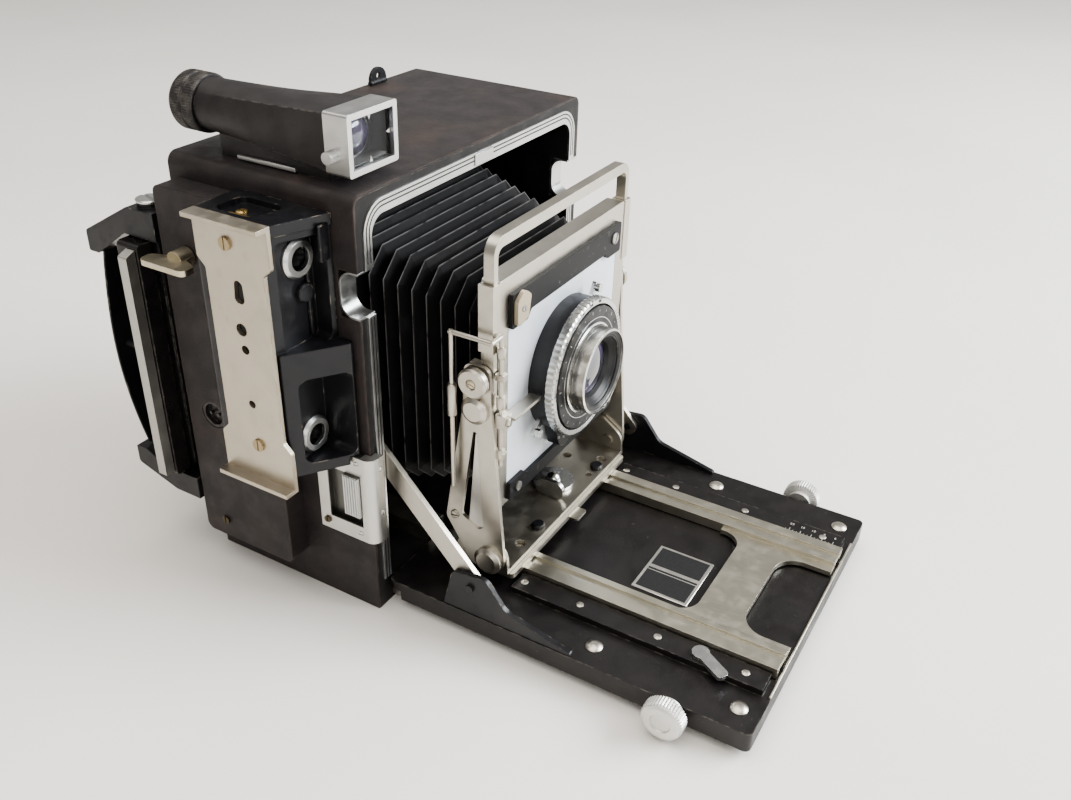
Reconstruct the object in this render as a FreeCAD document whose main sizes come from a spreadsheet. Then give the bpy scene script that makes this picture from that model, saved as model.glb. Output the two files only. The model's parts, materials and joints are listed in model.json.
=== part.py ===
import FreeCAD, Part
import math
import os
import re

# A 4x5 folding-bed press camera.  +Z is up, the lens looks along -Y, and the rangefinder side is -X.
# The origin is the mouth of the tripod socket, in the middle of the body's bottom face.

Vector = FreeCAD.Vector
doc = FreeCAD.newDocument("PressCamera")

# ---------------------------------------------------------------- driving sizes (millimetres)
SIZES = {
    # body box
    "body_width": 184, "body_depth": 100, "body_height": 209, "skin": 1,
    "opening_width": 164.4, "opening_low": 12, "opening_high": 198, "cavity_depth": 70,
    "trim_width": 174.4, "trim_high": 204.5, "trim_low": 15.5, "trim_proud": 0.8,
    "notch_low": 156, "notch_high": 177, "notch_depth": 10, "notch_liner": 0.9,
    "lens_height": 109.8, "gate_width": 122, "gate_height": 97,
    "chamber_front": 22, "chamber_back": 44, "chamber_low": 20, "chamber_high": 198,
    "roller_place": 32, "roller_radius": 8.5, "upper_roller_height": 170, "lower_roller_height": 44,
    "roller_half": 74, "journal_radius": 2.5, "running_gap": 0.05, "clearance": 0.3,
    "socket_radius": 3.175, "socket_boss": 9,
    # bed and its hinge
    "bed_low": 4.5, "bed_high": 14.5, "bed_front": 236, "bed_back": 51, "bed_half": 85,
    "hinge_place": 52.6, "hinge_height": 4.4, "hinge_pin": 1.2, "hinge_barrel": 2.2,
    "strip_inner": 49.6, "strip_outer": 61.5, "strip_high": 17.8,
    "ear_thick": 2.5, "ear_pin_place": 98, "ear_pin_height": 30, "strut_inner": 79.2,
    "strut_thick": 2.6, "strut_wide": 10, "strut_top_place": 45, "strut_top_height": 86,
    "strut_pin": 2, "guide_low": 60,
    "bed_socket_place": 150,
    # focusing track
    "rail_place": 42.2, "rail_wide": 13.7, "rail_low": 15, "rail_high": 20.4,
    "track_front": 233.9, "track_back": 58, "inner_rail_back": 14,
    "yoke_back": 187, "yoke_front": 209, "yoke_thick": 2.6,
    "pinion_place": 200, "pinion_height": 11.5, "pinion_radius": 4, "pinion_teeth": 16,
    "shaft_radius": 2, "rack_wide": 5, "knob_radius": 9.8, "knob_outer": 96,
    "lock_place": 201, "lock_side": 56,
    # front standard
    "base_half": 60, "base_front": 106, "base_back": 62, "base_low": 20.8, "base_high": 23.4,
    "shift_low": 23.7, "shift_high": 25.9, "shift_half": 61.5, "shift_travel": 10,
    "cam_place_x": 14, "cam_place_y": 86,
    "arm_inner": 61.9, "arm_thick": 2, "tilt_place": 95, "tilt_height": 31,
    "upper_pivot_place": 88, "upper_pivot_height": 112, "rise_lock_height": 127,
    "frame_half": 58.2, "frame_low": 56.7, "frame_high": 172.2, "frame_front": 96, "frame_back": 87,
    "board_half": 50.6, "board_thick": 2.6,
    "finder_half": 61.5, "finder_high": 191.7, "finder_bar": 3.1, "finder_wide": 5,
    "sleeve_low": 141, "sleeve_high": 172,
    # shutter and lens
    "shutter_radius": 32.9, "shutter_front": 109, "ring_radius": 34.3, "ring_inner": 31.2,
    "plate_front": 110.6, "barrel_radius": 21, "barrel_front": 118.5,
    "glass_radius": 14, "rear_barrel": 19, "rear_barrel_back": 76,
    # rangefinder side
    "cover_out": 104, "cover_low": 18, "cover_high": 199, "cover_front": 8, "cover_step": 82,
    "finder_out": 120, "housing_low": 83, "housing_foot": 86.5, "housing_high": 201, "housing_back": 10,
    "housing_front_out": 27, "housing_front_in": 38, "window_place": 103.5,
    "upper_window": 183.5, "lower_window": 101, "window_outer": 8.6, "window_inner": 6,
    "bracket_thick": 2.2, "bracket_front": 33, "bracket_back": 6,
    "latch_low": 44, "latch_high": 90, "latch_back": 23, "latch_out": 97,
    # tube viewfinder
    "tube_place": 70.5, "tube_front": 45, "tube_low": 213.5, "tube_high": 238.5, "tube_half": 15.6,
    "eye_place": 75.5, "eye_height": 228, "eye_radius": 12.5, "eye_front": 36, 
    "peep_place": 48,
    # spring back
    "back_thick": 7, "holder_thick": 13, "holder_half": 60.5, "holder_out": 110, "holder_in": 72,
    "panel_half": 84, "panel_low": 38, "panel_high": 182, "panel_thick": 9, "hood_thick": 9,
    "spring_place": 97, "spring_wide": 14, "spring_thick": 1.2,
    # bellows
    "bellows_back": 5, "bellows_half_back": 70, "bellows_half_front": 50,
}

sheet = doc.addObject("Spreadsheet::Sheet", "Sizes")
for row, (alias, size) in enumerate(SIZES.items(), start=1):
    sheet.set(f"A{row}", alias)
    sheet.set(f"B{row}", str(size))
    sheet.setAlias(f"B{row}", alias)
doc.recompute()

WORD = re.compile(r"\b(" + "|".join(sorted(SIZES, key=len, reverse=True)) + r")\b")
NODES = []


# ---------------------------------------------------------------- helpers
def value(formula):
    """A formula of sheet words, worked out as a number."""
    if isinstance(formula, (int, float)):
        return float(formula)
    total = 0.0
    for sign, term in re.findall(r"([+-]?)\s*([^+-]+)", formula.replace(" ", "")):
        product = 1.0
        for operator, factor in re.findall(r"([*/]?)([\w.]+)", term):
            number = float(sheet.get(factor)) if factor in SIZES else float(factor)
            product = product / number if operator == "/" else product * number
        total += -product if sign == "-" else product
    return total


def bind(thing, prop, formula):
    thing.setExpression(prop, WORD.sub(r"Sizes.\1", str(formula)))


TURN = {
    "x": FreeCAD.Rotation(Vector(0, 1, 0), 90),
    "y": FreeCAD.Rotation(Vector(1, 0, 0), -90),
    "z": FreeCAD.Rotation(),
}


def box(label, x, y, z):
    """A block between the low and high formulas of each axis."""
    block = doc.addObject("Part::Box", label)
    for prop, axis, (low, high) in zip(("Length", "Width", "Height"), "xyz", (x, y, z)):
        bind(block, prop, f"({high}) - ({low})")
        bind(block, f"Placement.Base.{axis}", low)
    return block


def rod(label, axis, start, radius, length):
    """A cylinder that runs from start along +axis."""
    round_bar = doc.addObject("Part::Cylinder", label)
    round_bar.Placement = FreeCAD.Placement(Vector(), TURN[axis])
    bind(round_bar, "Radius", radius)
    bind(round_bar, "Height", length)
    for direction, formula in zip("xyz", start):
        bind(round_bar, f"Placement.Base.{direction}", formula)
    return round_bar


def cut(label, base, *tools):
    tool = tools[0] if len(tools) == 1 else fuse(label + "_tools", *tools)
    result = doc.addObject("Part::Cut", label)
    result.Base = base
    result.Tool = tool
    return result


def fuse(label, *pieces):
    result = doc.addObject("Part::MultiFuse", label)
    result.Shapes = list(pieces)
    return result


def group(label, *pieces):
    """Separate solids that share one node."""
    result = doc.addObject("Part::Compound", label)
    result.Links = list(pieces)
    return result


def mirrored(label, piece):
    """The same piece on the other side of the camera."""
    result = doc.addObject("Part::Mirroring", label)
    result.Source = piece
    result.Normal = Vector(1, 0, 0)
    return result


def pair(label, piece):
    return group(label, piece, mirrored(label + "_other", piece))


def draw(sketch, outline):
    """Closed outline of (u, v) or (u, v, corner radius) points: lines joined by tangent arcs."""
    corners = [Vector(value(p[0]), value(p[1]), 0) for p in outline]
    radii = [value(p[2]) if len(p) > 2 else 0 for p in outline]
    count = len(corners)
    spans = []
    for i, corner in enumerate(corners):
        before = (corners[i - 1] - corner).normalize()
        after = (corners[(i + 1) % count] - corner).normalize()
        half = before.getAngle(after) / 2
        reach = radii[i] / math.tan(half) if radii[i] else 0
        enter = corner + before * reach
        leave = corner + after * reach
        middle = None
        if radii[i]:
            centre = corner + (before + after).normalize() * (radii[i] / math.sin(half))
            middle = centre + (corner - centre).normalize() * radii[i]
        spans.append((enter, middle, leave))
    for i, (enter, middle, leave) in enumerate(spans):
        if middle:
            sketch.addGeometry(Part.Arc(enter, middle, leave), False)
        following = spans[(i + 1) % count][0]
        if leave.distanceToPoint(following) > 1e-6:
            sketch.addGeometry(Part.LineSegment(leave, following), False)


def new_sketch(body, label, plane):
    """A sketch flat on one of the body's own origin planes."""
    sketch = body.newObject("Sketcher::SketchObject", label + "_sketch")
    origin_plane = [f for f in body.Origin.OriginFeatures if f.Role == plane][0]
    sketch.AttachmentSupport = [(origin_plane, "")]
    sketch.MapMode = "FlatFace"
    return sketch


def plate(label, plane, low, high, outline, holes=(), inner=()):
    """A pad between low and high along the plane's normal axis, with round and outlined holes."""
    body = doc.addObject("PartDesign::Body", label)
    sketch = new_sketch(body, label, plane)
    draw(sketch, outline)
    for u, v, radius in holes:
        centre = Vector(value(u), value(v), 0)
        sketch.addGeometry(Part.Circle(centre, Vector(0, 0, 1), value(radius)), False)
    for window in inner:
        draw(sketch, window)
    start = f"-({high})" if plane == "XZ_Plane" else low
    bind(sketch, "AttachmentOffset.Base.z", start)
    pad = body.newObject("PartDesign::Pad", label + "_pad")
    pad.Profile = sketch
    bind(pad, "Length", f"({high}) - ({low})")
    return body


def turned(label, axis, centre, profile):
    """A solid of revolution: profile points are (radius, distance along +axis from centre)."""
    body = doc.addObject("PartDesign::Body", label)
    sketch = new_sketch(body, label, "XZ_Plane")
    draw(sketch, profile)
    revolution = body.newObject("PartDesign::Revolution", label + "_turn")
    revolution.Profile = sketch
    revolution.ReferenceAxis = (sketch, ["V_Axis"])
    revolution.Angle = 360
    body.Placement = FreeCAD.Placement(Vector(), TURN[axis])
    for direction, formula in zip("xyz", centre):
        bind(body, f"Placement.Base.{direction}", formula)
    return body


def rectangle(u, v, radius=0):
    """Corner points of a rectangle between the (low, high) pairs u and v."""
    return [(u[0], v[0], radius), (u[1], v[0], radius), (u[1], v[1], radius), (u[0], v[1], radius)]


def node(piece):
    NODES.append(piece)
    return piece


# ---------------------------------------------------------------- body
def body_case():
    """The wooden box: open in front, with a shutter chamber and the film gate behind it."""
    half_opening = "opening_width / 2"
    outer = box("case_block", ("-body_width / 2 + skin", "body_width / 2 - skin"),
                ("-body_depth / 2", "body_depth / 2"), ("0", "body_height - skin"))
    rounded = doc.addObject("Part::Fillet", "case_rounded")
    rounded.Base = outer
    doc.recompute()
    rounded.Edges = [(i, 4, 4) for i, edge in enumerate(outer.Shape.Edges, start=1)
                     if edge.BoundBox.ZMin > value("body_height") - 2
                     and edge.BoundBox.YLength > value("body_depth") / 2]
    cavity = plate("case_cavity", "XZ_Plane", "-body_depth / 2 - 1", "-body_depth / 2 + cavity_depth",
                   rectangle(("-" + half_opening, half_opening), ("opening_low", "opening_high"), 8))
    chamber = box("case_chamber", ("-roller_half - 2", "roller_half + 2"),
                  ("chamber_front - 3", "chamber_back"), ("chamber_low", "chamber_high"))
    gate = box("case_gate", ("-gate_width / 2", "gate_width / 2"), ("chamber_back - 1", "body_depth / 2 + 1"),
               ("lens_height - gate_height / 2", "lens_height + gate_height / 2"))
    notch = box("case_notch", ("-body_width / 2", "body_width / 2"),
                ("-body_depth / 2 - 1", "-body_depth / 2 + notch_depth"), ("notch_low", "notch_high"))
    socket = rod("case_socket_bore", "z", ("0", "0", "-1"), "socket_boss", "opening_low + 2")
    shaft = rod("case_shaft_bore", "x", ("-body_width / 2", "roller_place", "upper_roller_height"),
                "journal_radius + running_gap", "body_width - 6")
    lower_shaft = rod("case_lower_bore", "x", ("-body_width / 2 + 6", "roller_place", "lower_roller_height"),
                      "journal_radius + running_gap", "body_width - 12")
    guides = pair("case_guides", box("case_guide", ("-opening_width / 2 - 4.5", "-opening_width / 2 + 1"),
                                     ("-body_depth / 2 + 1", "-body_depth / 2 + 9"),
                                     ("guide_low", "strut_top_height + 4")))
    hollowed = cut("body_case", rounded, cavity, chamber, gate, notch, socket, shaft, lower_shaft, guides)
    return node(hollowed)


def leather_covering():
    """Thin leather on the outside of the box, with the front trim's margin left bare."""
    outer = box("leather_block", ("-body_width / 2", "body_width / 2"),
                ("-body_depth / 2", "body_depth / 2"), ("clearance", "body_height"))
    rounded = doc.addObject("Part::Fillet", "leather_rounded")
    rounded.Base = outer
    doc.recompute()
    rounded.Edges = [(i, 5, 5) for i, edge in enumerate(outer.Shape.Edges, start=1)
                     if edge.BoundBox.ZMin > value("body_height") - 2
                     and edge.BoundBox.YLength > value("body_depth") / 2]
    inner = box("leather_inside", ("-body_width / 2 + skin", "body_width / 2 - skin"),
                ("-body_depth / 2 - 1", "body_depth / 2 + 1"), ("-1", "body_height - skin"))
    inner_rounded = doc.addObject("Part::Fillet", "leather_inside_rounded")
    inner_rounded.Base = inner
    doc.recompute()
    inner_rounded.Edges = [(i, 4, 4) for i, edge in enumerate(inner.Shape.Edges, start=1)
                           if edge.BoundBox.ZMin > value("body_height") - 3
                           and edge.BoundBox.YLength > value("body_depth") / 2]
    notch = box("leather_notch", ("-body_width / 2 - 1", "body_width / 2 + 1"),
                ("-body_depth / 2 - 1", "-body_depth / 2 + notch_depth"), ("notch_low", "notch_high"))
    shaft = rod("leather_shaft_hole", "x", ("-body_width / 2 - 1", "roller_place", "upper_roller_height"),
                "journal_radius + running_gap", "4")
    return node(cut("leather_covering", rounded, inner_rounded, notch, shaft))


def front_trim():
    """Bright moulding round the front opening, with its scalloped liners in the side notches."""
    half, inner = "trim_width / 2", "opening_width / 2"
    front, back = "-body_depth / 2 - trim_proud", "-body_depth / 2"
    frame = plate("trim_frame", "XZ_Plane", front, back,
                  [("-" + half, "trim_low"), ("-" + inner, "trim_low"), ("-" + inner, "opening_high", 8),
                   (inner, "opening_high", 8), (inner, "trim_low"), (half, "trim_low"),
                   (half, "trim_high", 13), ("-" + half, "trim_high", 13)])
    gap = box("trim_gap", ("-body_width / 2", "body_width / 2"),
              ("-body_depth / 2 - 2", "-body_depth / 2 + 2"),
              ("notch_low", "notch_high"))
    depth = "-body_depth / 2 + notch_depth"
    liner = plate("trim_liner", "YZ_Plane", "-body_width / 2", "-opening_width / 2",
                  [("-body_depth / 2", "notch_low"), (depth, "notch_low", 7), (depth, "notch_high", 7),
                   ("-body_depth / 2", "notch_high"), ("-body_depth / 2", "notch_high - notch_liner"),
                   ("-body_depth / 2 + notch_depth - notch_liner", "notch_high - notch_liner", 6),
                   ("-body_depth / 2 + notch_depth - notch_liner", "notch_low + notch_liner", 6),
                   ("-body_depth / 2", "notch_low + notch_liner")])
    return node(group("front_trim", cut("trim_moulding", frame, gap), liner,
                      mirrored("trim_liner_other", liner)))


def tripod_socket():
    """Quarter-inch threaded bush in the body's floor."""
    return node(turned("tripod_socket", "z", ("0", "0", "0"),
                       [("socket_radius", "0"), ("socket_boss", "0"), ("socket_boss", "opening_low - 2"),
                        ("socket_radius", "opening_low - 2")]))


def inner_rails():
    """Short rails inside the body, in line with the track, for the front standard to run back on."""
    rail = box("inner_rail", ("-rail_place - rail_wide / 2", "-rail_place + rail_wide / 2"),
               ("-body_depth / 2 + 1", "inner_rail_back"), ("opening_low", "rail_high"))
    return node(pair("inner_rails", rail))


def bed_hinge_pin():
    """The hinge pin and the two lugs that hold it on the body's front face."""
    pin = rod("hinge_pin_rod", "x", ("-bed_half + 6", "-hinge_place", "hinge_height"), "hinge_pin",
              "2 * bed_half - 12")
    lug = box("hinge_lug", ("-bed_half + 4", "-bed_half + 9"), ("-hinge_place - 2", "-body_depth / 2"),
              ("hinge_height - 2.2", "hinge_height + 2.2"))
    return node(fuse("bed_hinge_pin", pin, lug, mirrored("hinge_lug_other", lug)))


def shutter_gear_cover():
    """Raised box on the side over the shutter's winding gears; it steps back behind the rangefinder."""
    block = plate("cover_block", "YZ_Plane", "-cover_out", "-body_width / 2",
                  [("-cover_front", "cover_low", 4), ("body_depth / 2 - 2", "cover_low", 4),
                   ("body_depth / 2 - 2", "cover_high", 4), ("housing_back + 1", "cover_high", 1),
                   ("housing_back + 1", "cover_step - 1"), ("-cover_front", "cover_step - 1", 1)])
    shaft = rod("cover_shaft_hole", "x", ("-cover_out - 1", "roller_place", "upper_roller_height"),
                "journal_radius + running_gap", "cover_out - body_width / 2 + 3")
    socket = rod("cover_socket_hole", "x", ("-cover_out - 1", "roller_place", "90"), "7", "6")
    return node(cut("shutter_gear_cover", block, shaft, socket))


def shutter_curtain():
    """Cloth curtain in front of the film gate, between the two rollers."""
    low, high = "lower_roller_height", "upper_roller_height"
    return node(box("shutter_curtain", ("-gate_width / 2 - 4", "gate_width / 2 + 4"),
                    ("roller_place + roller_radius + clearance", "roller_place + roller_radius + 0.8"),
                    (low, high)))


def roller(label, height, left_end):
    """Curtain roller with its two journals."""
    drum = rod(label + "_drum", "x", ("-roller_half", "roller_place", height), "roller_radius",
               "2 * roller_half")
    journal = rod(label + "_journal", "x", (left_end, "roller_place", height), "journal_radius",
                  f"roller_half + 7 - ({left_end})")
    return node(fuse(label, drum, journal))


def winding_key():
    """Wing key on the end of the upper roller's shaft."""
    wing = plate("key_wing", "XY_Plane", "upper_roller_height - 1.3", "upper_roller_height + 1.3",
                 [("-cover_out - 0.6", "roller_place - 4"), ("-cover_out - 0.6", "roller_place + 4"),
                  ("-cover_out - 6", "roller_place + 5"), ("-cover_out - 9", "roller_place + 13", 3),
                  ("-cover_out - 16", "roller_place + 13", 3), ("-cover_out - 16", "roller_place - 13", 3),
                  ("-cover_out - 9", "roller_place - 13", 3), ("-cover_out - 6", "roller_place - 5")])
    hub = rod("key_hub", "x", ("-cover_out - 8", "roller_place", "upper_roller_height"), "4.5", "7.4")
    return node(fuse("winding_key", wing, hub))


def flash_socket():
    """Two-pin flash socket sunk in the gear cover."""
    start = ("-cover_out + 0.2", "roller_place", "90")
    cup = cut("socket_cup", rod("socket_body", "x", start, "6.8", "4.6"),
              rod("socket_hollow", "x", ("-cover_out - 1", "roller_place", "90"), "5.4", "3.6"))
    pins = [rod(f"socket_pin_{side}", "x", ("-cover_out + 0.6", f"roller_place + {side}", "90"), "0.8", "3")
            for side in (-2.2, 2.2)]
    return node(fuse("flash_socket", cup, *pins))


# ---------------------------------------------------------------- rangefinder side
def rangefinder_housing():
    """Enamelled rangefinder case: slanting front, deeper at its lower window, loop-shaped top."""
    front_out, front_in = "-housing_front_out", "-housing_front_in"
    wall = "-body_width / 2 - clearance"
    case = plate("housing_case", "XY_Plane", "housing_foot", "housing_high - 5",
                 [("-finder_out", "housing_back", 3), ("-finder_out", front_out, 2), (wall, front_in),
                  (wall, "housing_back")])
    top = plate("housing_top", "XY_Plane", "housing_high - 5", "housing_high",
                [("-finder_out", "housing_back", 5), ("-finder_out", front_out + "- 1", 3),
                 (wall, front_in + "- 1"), (wall, "housing_back")])
    recess = plate("housing_recess", "XY_Plane", "housing_high - 3", "housing_high + 1",
                   [("-finder_out + 6", "housing_back - 7", 5), ("-finder_out + 6", "-18", 5),
                    ("-body_width / 2 - 5", "-22", 5), ("-body_width / 2 - 5", "housing_back - 7", 5)])
    frame = plate("housing_lower_frame", "XY_Plane", "housing_foot", "housing_low + 63",
                  [("-finder_out + 1", front_out), ("-finder_out + 1", front_out + "- 3", 1),
                   (wall, "-body_depth / 2 + 2", 2), (wall, front_in)])
    window = plate("housing_frame_window", "XZ_Plane", "-body_depth / 2 - 2", "-housing_front_out - 2",
                   rectangle(("-finder_out + 6", "-body_width / 2 - 2.5"),
                             ("latch_high + 1.6", "housing_low + 50"), 4))
    latch_room = box("housing_latch_room", ("-latch_out - 1", "-body_width / 2 + 1"),
                     ("-body_depth / 2 - 3", "-latch_back + 1"), ("housing_foot - 1", "latch_high + 0.6"))
    channel = plate("housing_channel", "XZ_Plane", "-body_depth / 2", "-housing_front_out - 2",
                    rectangle(("-finder_out + 5", "-body_width / 2 - 2.5"),
                              ("housing_low + 63", "housing_high - 8"), 2.5))
    wells = [rod(f"housing_well_{i}", "y", ("-window_place", "-body_depth / 2", height), "window_inner",
                 "body_depth / 2 - 20") for i, height in enumerate(("upper_window", "lower_window"))]
    return node(cut("rangefinder_housing", fuse("housing_solid", case, top, frame),
                    recess, window, latch_room, channel, *wells))


def rangefinder_rings():
    """Bright rings round the two rangefinder windows."""
    rings = [turned(f"window_ring_{i}", "y", ("-window_place", front, height),
                    [("window_inner - 1", "0"), ("window_outer - 1.2", "0"), ("window_outer", "1.4"),
                     ("window_outer", "2.4"), ("window_inner - 0.4", "2.4")])
             for i, (front, height) in enumerate((("-housing_front_out - 4.5", "upper_window"),
                                                  ("-housing_front_out - 4.5", "lower_window")))]
    return node(group("rangefinder_rings", *rings))


def finder_glasses():
    """Rangefinder window glasses, with the viewfinder's front glass."""
    discs = [rod(f"window_glass_{i}", "y", ("-window_place", "-housing_front_out - 1.8", height),
                 "window_inner - 0.2", "1.2") for i, height in enumerate(("upper_window", "lower_window"))]
    front = box("viewfinder_front_glass", ("-tube_place - tube_half + 2.6", "-tube_place + tube_half - 2.6"),
                ("-tube_front + 2", "-tube_front + 3.6"), ("tube_low + 2.6", "tube_high - 2.6"))
    return node(group("finder_glasses", *discs, front))


def flash_bracket_plate():
    """Flat plate with turned-out ends that carries a flash gun beside the rangefinder."""
    inside = "-finder_out - 0.1"
    outside = "-finder_out - bracket_thick"
    front, back = "-bracket_front", "bracket_back"
    face = plate("bracket_face", "YZ_Plane", outside, inside,
                 [(front, "housing_low"), (back, "housing_low"), (back, "housing_low + 18", 1.5),
                  (back + "- 4", "housing_low + 22", 2), (back + "- 4", "housing_high - 22", 2),
                  (back, "housing_high - 18", 1.5), (back, "housing_high"), (front, "housing_high"),
                  (front, "housing_high - 16", 1.5), (front + "+ 4", "housing_high - 19", 1.5),
                  (front + "+ 4", "housing_low + 22", 2), (front, "housing_low + 18", 2)],
                 [("-14", "housing_low + 37", "1.8"), ("-14.3", "housing_low + 63", "2"),
                  ("-13.5", "housing_low + 72", "2.8")],
                 [[("-17.4", "housing_low + 84", 2.2), ("-12", "housing_low + 84", 2.2),
                   ("-12.8", "housing_low + 95", 2), ("-17", "housing_low + 93", 2)]])
    lips = [box(f"bracket_lip_{i}", ("-finder_out - 7.5", inside), (front, back), (low, high))
            for i, (low, high) in enumerate((("housing_low - 2", "housing_low"),
                                             ("housing_high", "housing_high + 2")))]
    return node(fuse("flash_bracket_plate", face, *lips))


def body_screws():
    """Slotted screws on the side: two in the flash bracket, one in the gear cover, two in the latch."""
    spots = (("-finder_out - bracket_thick - 1.1", "-11", "housing_high - 9", "2.9"),
             ("-finder_out - bracket_thick - 1.1", "-15", "housing_low + 17", "2.9"),
             ("-cover_out - 1", "34", "cover_low + 10", "2.2"),
             ("-latch_out - 0.8", "-latch_back - 4", "latch_low + 5", "1.8"),
             ("-latch_out - 0.8", "-latch_back - 4", "latch_high - 4", "1.5"))
    screws = []
    for i, (out, across, height, radius) in enumerate(spots):
        thick = out.rsplit("- ", 1)[1]
        head = rod(f"screw_head_{i}", "x", (out, across, height), radius, thick)
        slot = box(f"screw_slot_{i}", (out + "- 1", out + "+ 0.5"), (across + "- 0.35", across + "+ 0.35"),
                   (height + "- 4", height + "+ 4"))
        screws.append(cut(f"screw_{i}", head, slot))
    return node(group("body_screws", *screws))


def release_housing():
    """Bright housing that wraps the body's front edge round the sliding shutter release."""
    shell = plate("latch_shell", "XY_Plane", "latch_low", "latch_high",
                  [("-body_width / 2 - 0.2", "-latch_back"), ("-latch_out", "-latch_back"),
                   ("-latch_out", "-body_depth / 2 - 5", 5), ("-trim_width / 2 - 1.5", "-body_depth / 2 - 5"),
                   ("-trim_width / 2 - 1.5", "-body_depth / 2 - 1"),
                   ("-body_width / 2 - 0.2", "-body_depth / 2 - 1")])
    window = box("latch_window", ("-latch_out - 1", "-body_width / 2 - 1.6"),
                 ("-body_depth / 2 + 2", "-latch_back - 6"), ("latch_low + 8", "latch_high - 10"))
    return node(cut("release_housing", shell, window))


def release_slide():
    """Ribbed button that slides down in the release housing."""
    return node(box("release_slide", ("-latch_out - 1.6", "-body_width / 2 - 1.9"),
                    ("-body_depth / 2 + 2.3", "-body_depth / 2 + 11"),
                    ("latch_low + 14", "latch_high - 10.3")))


# ---------------------------------------------------------------- viewfinders
def viewfinder_tube():
    """Tubular optical finder: square in front, round behind, on a low foot."""
    square = [Vector(x, value("-tube_front + 12.3"), z)
              for x, z in ((-15, 1), (15, 1), (15, 24), (-15, 24))]
    shift = Vector(-value("tube_place"), 0, value("tube_low"))
    front = Part.makePolygon([p + shift for p in square] + [square[0] + shift])
    centre = Vector(-value("eye_place"), value("eye_front") - 0.3, value("eye_height"))
    circle = Part.Circle(centre, Vector(0, 1, 0), value("eye_radius") - 1.5)
    back = Part.Wire([circle.toShape()])
    tube = doc.addObject("Part::Feature", "finder_loft")
    tube.Shape = Part.makeLoft([front, back], True)
    foot = box("finder_foot", ("-tube_place - 11", "-tube_place + 9"), ("-tube_front + 14", "eye_front - 8"),
               ("body_height", "tube_low + 5"))
    stub = rod("finder_stub", "y", ("-eye_place", "eye_front - 2", "eye_height"), "eye_radius - 3.5", "10")
    return node(fuse("viewfinder_tube", tube, foot, stub))


def viewfinder_frame():
    """Bright square hood round the finder's front glass."""
    half = "tube_half"
    u = ("-tube_place - " + half, "-tube_place + " + half)
    hood = plate("finder_hood", "XZ_Plane", "-tube_front", "-tube_front + 12",
                 rectangle(u, ("tube_low", "tube_high"), 1.2))
    hollow = box("finder_hood_hollow", (u[0] + "+ 2.6", u[1] + "- 2.6"),
                 ("-tube_front - 1", "-tube_front + 13"),
                 ("tube_low + 2.6", "tube_high - 2.6"))
    screw = rod("finder_side_screw", "x", (u[0] + "- 4", "-tube_front + 8", "tube_low + 8"), "2.6", "4.2")
    return node(fuse("viewfinder_frame", cut("finder_hood_open", hood, hollow), screw))


def viewfinder_eyepiece():
    """Ribbed ring that turns on the finder's rear stub to set the parallax."""
    return node(turned("viewfinder_eyepiece", "y", ("-eye_place", "eye_front", "eye_height"),
                       [("eye_radius - 3.5 + running_gap", "0"), ("eye_radius - 0.5", "0"),
                        ("eye_radius", "1"),
                        ("eye_radius", "12"), ("eye_radius - 1.5", "14"), ("5", "14"), ("5", "12"),
                        ("eye_radius - 3.5 + running_gap", "12")]))


def peep_sight():
    """Folding rear peep sight at the roof's back edge: a round disc on a hinge barrel."""
    half = "6.5"
    foot, head = "body_height + 1.2", "body_height + 9"
    disc = plate("peep_disc", "XZ_Plane", "body_depth / 2 - 5", "body_depth / 2 - 3.4",
                 [(f"peep_place - {half}", foot, 1), (f"peep_place + {half}", foot, 1),
                  (f"peep_place + {half}", head, 6.2), (f"peep_place - {half}", head, 6.2)],
                 [("peep_place", "body_height + 4.8", "1.6")])
    barrel = rod("peep_barrel", "x", (f"peep_place - {half}", "body_depth / 2 - 4.2", "body_height + 1.6"),
                 "1.3", f"2 * {half}")
    return node(fuse("peep_sight", disc, barrel))


# ---------------------------------------------------------------- back
def back_frame():
    """Metal frame on the body's back that the film holder seats against."""
    sides = rectangle(("-panel_half", "panel_half"), ("panel_low", "panel_high"), 4)
    opening = rectangle(("-gate_width / 2", "gate_width / 2"),
                        ("lens_height - gate_height / 2", "lens_height + gate_height / 2"))
    return node(plate("back_frame", "XZ_Plane", "body_depth / 2", "body_depth / 2 + back_thick", sides, (),
                      [opening]))


def spring_brackets():
    """Arms at the four corners of the back that hold the ends of the bow springs."""
    low_x, high_x = "-spring_place - 8", "-panel_half - clearance"
    back = "body_depth / 2"
    arm = plate("spring_arm", "YZ_Plane", low_x, high_x,
                [(back, "172"), ("70", "172"), ("90", "158"), ("96", "158", 1), ("96", "168", 2),
                 ("66", "185", 3),
                 (back, "185")])
    foot = plate("spring_foot", "YZ_Plane", low_x, high_x,
                 [(back, "47"), ("73", "47"), ("84", "53"), ("91", "53", 1), ("91", "43", 2), ("66", "35", 3),
                  (back, "35")])
    screw = rod("spring_arm_screw", "z", ("-spring_place", "60", "184"), "5.5", "3")
    return node(pair("spring_brackets", fuse("spring_bracket_solids", arm, foot, screw)))


def bow(label, side):
    """One leaf spring bowed backwards between the arm and the foot."""
    points = ((87, 54), (94, 108), (93, 157))
    outer = Part.Arc(*[Vector(0, y, z) for y, z in points]).toShape()
    thick = value("spring_thick")
    inner = Part.Arc(*[Vector(0, y - thick, z) for y, z in points]).toShape()
    caps = [Part.makeLine(outer.Vertexes[i].Point, inner.Vertexes[i].Point) for i in (0, 1)]
    face = Part.Face(Part.Wire(Part.__sortEdges__([outer, inner, *caps])))
    leaf = doc.addObject("Part::Feature", label)
    leaf.Shape = face.extrude(Vector(value("spring_wide"), 0, 0))
    leaf.Placement.Base = Vector(side * value("spring_place") - value("spring_wide") / 2, 0, 0)
    return leaf


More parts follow.
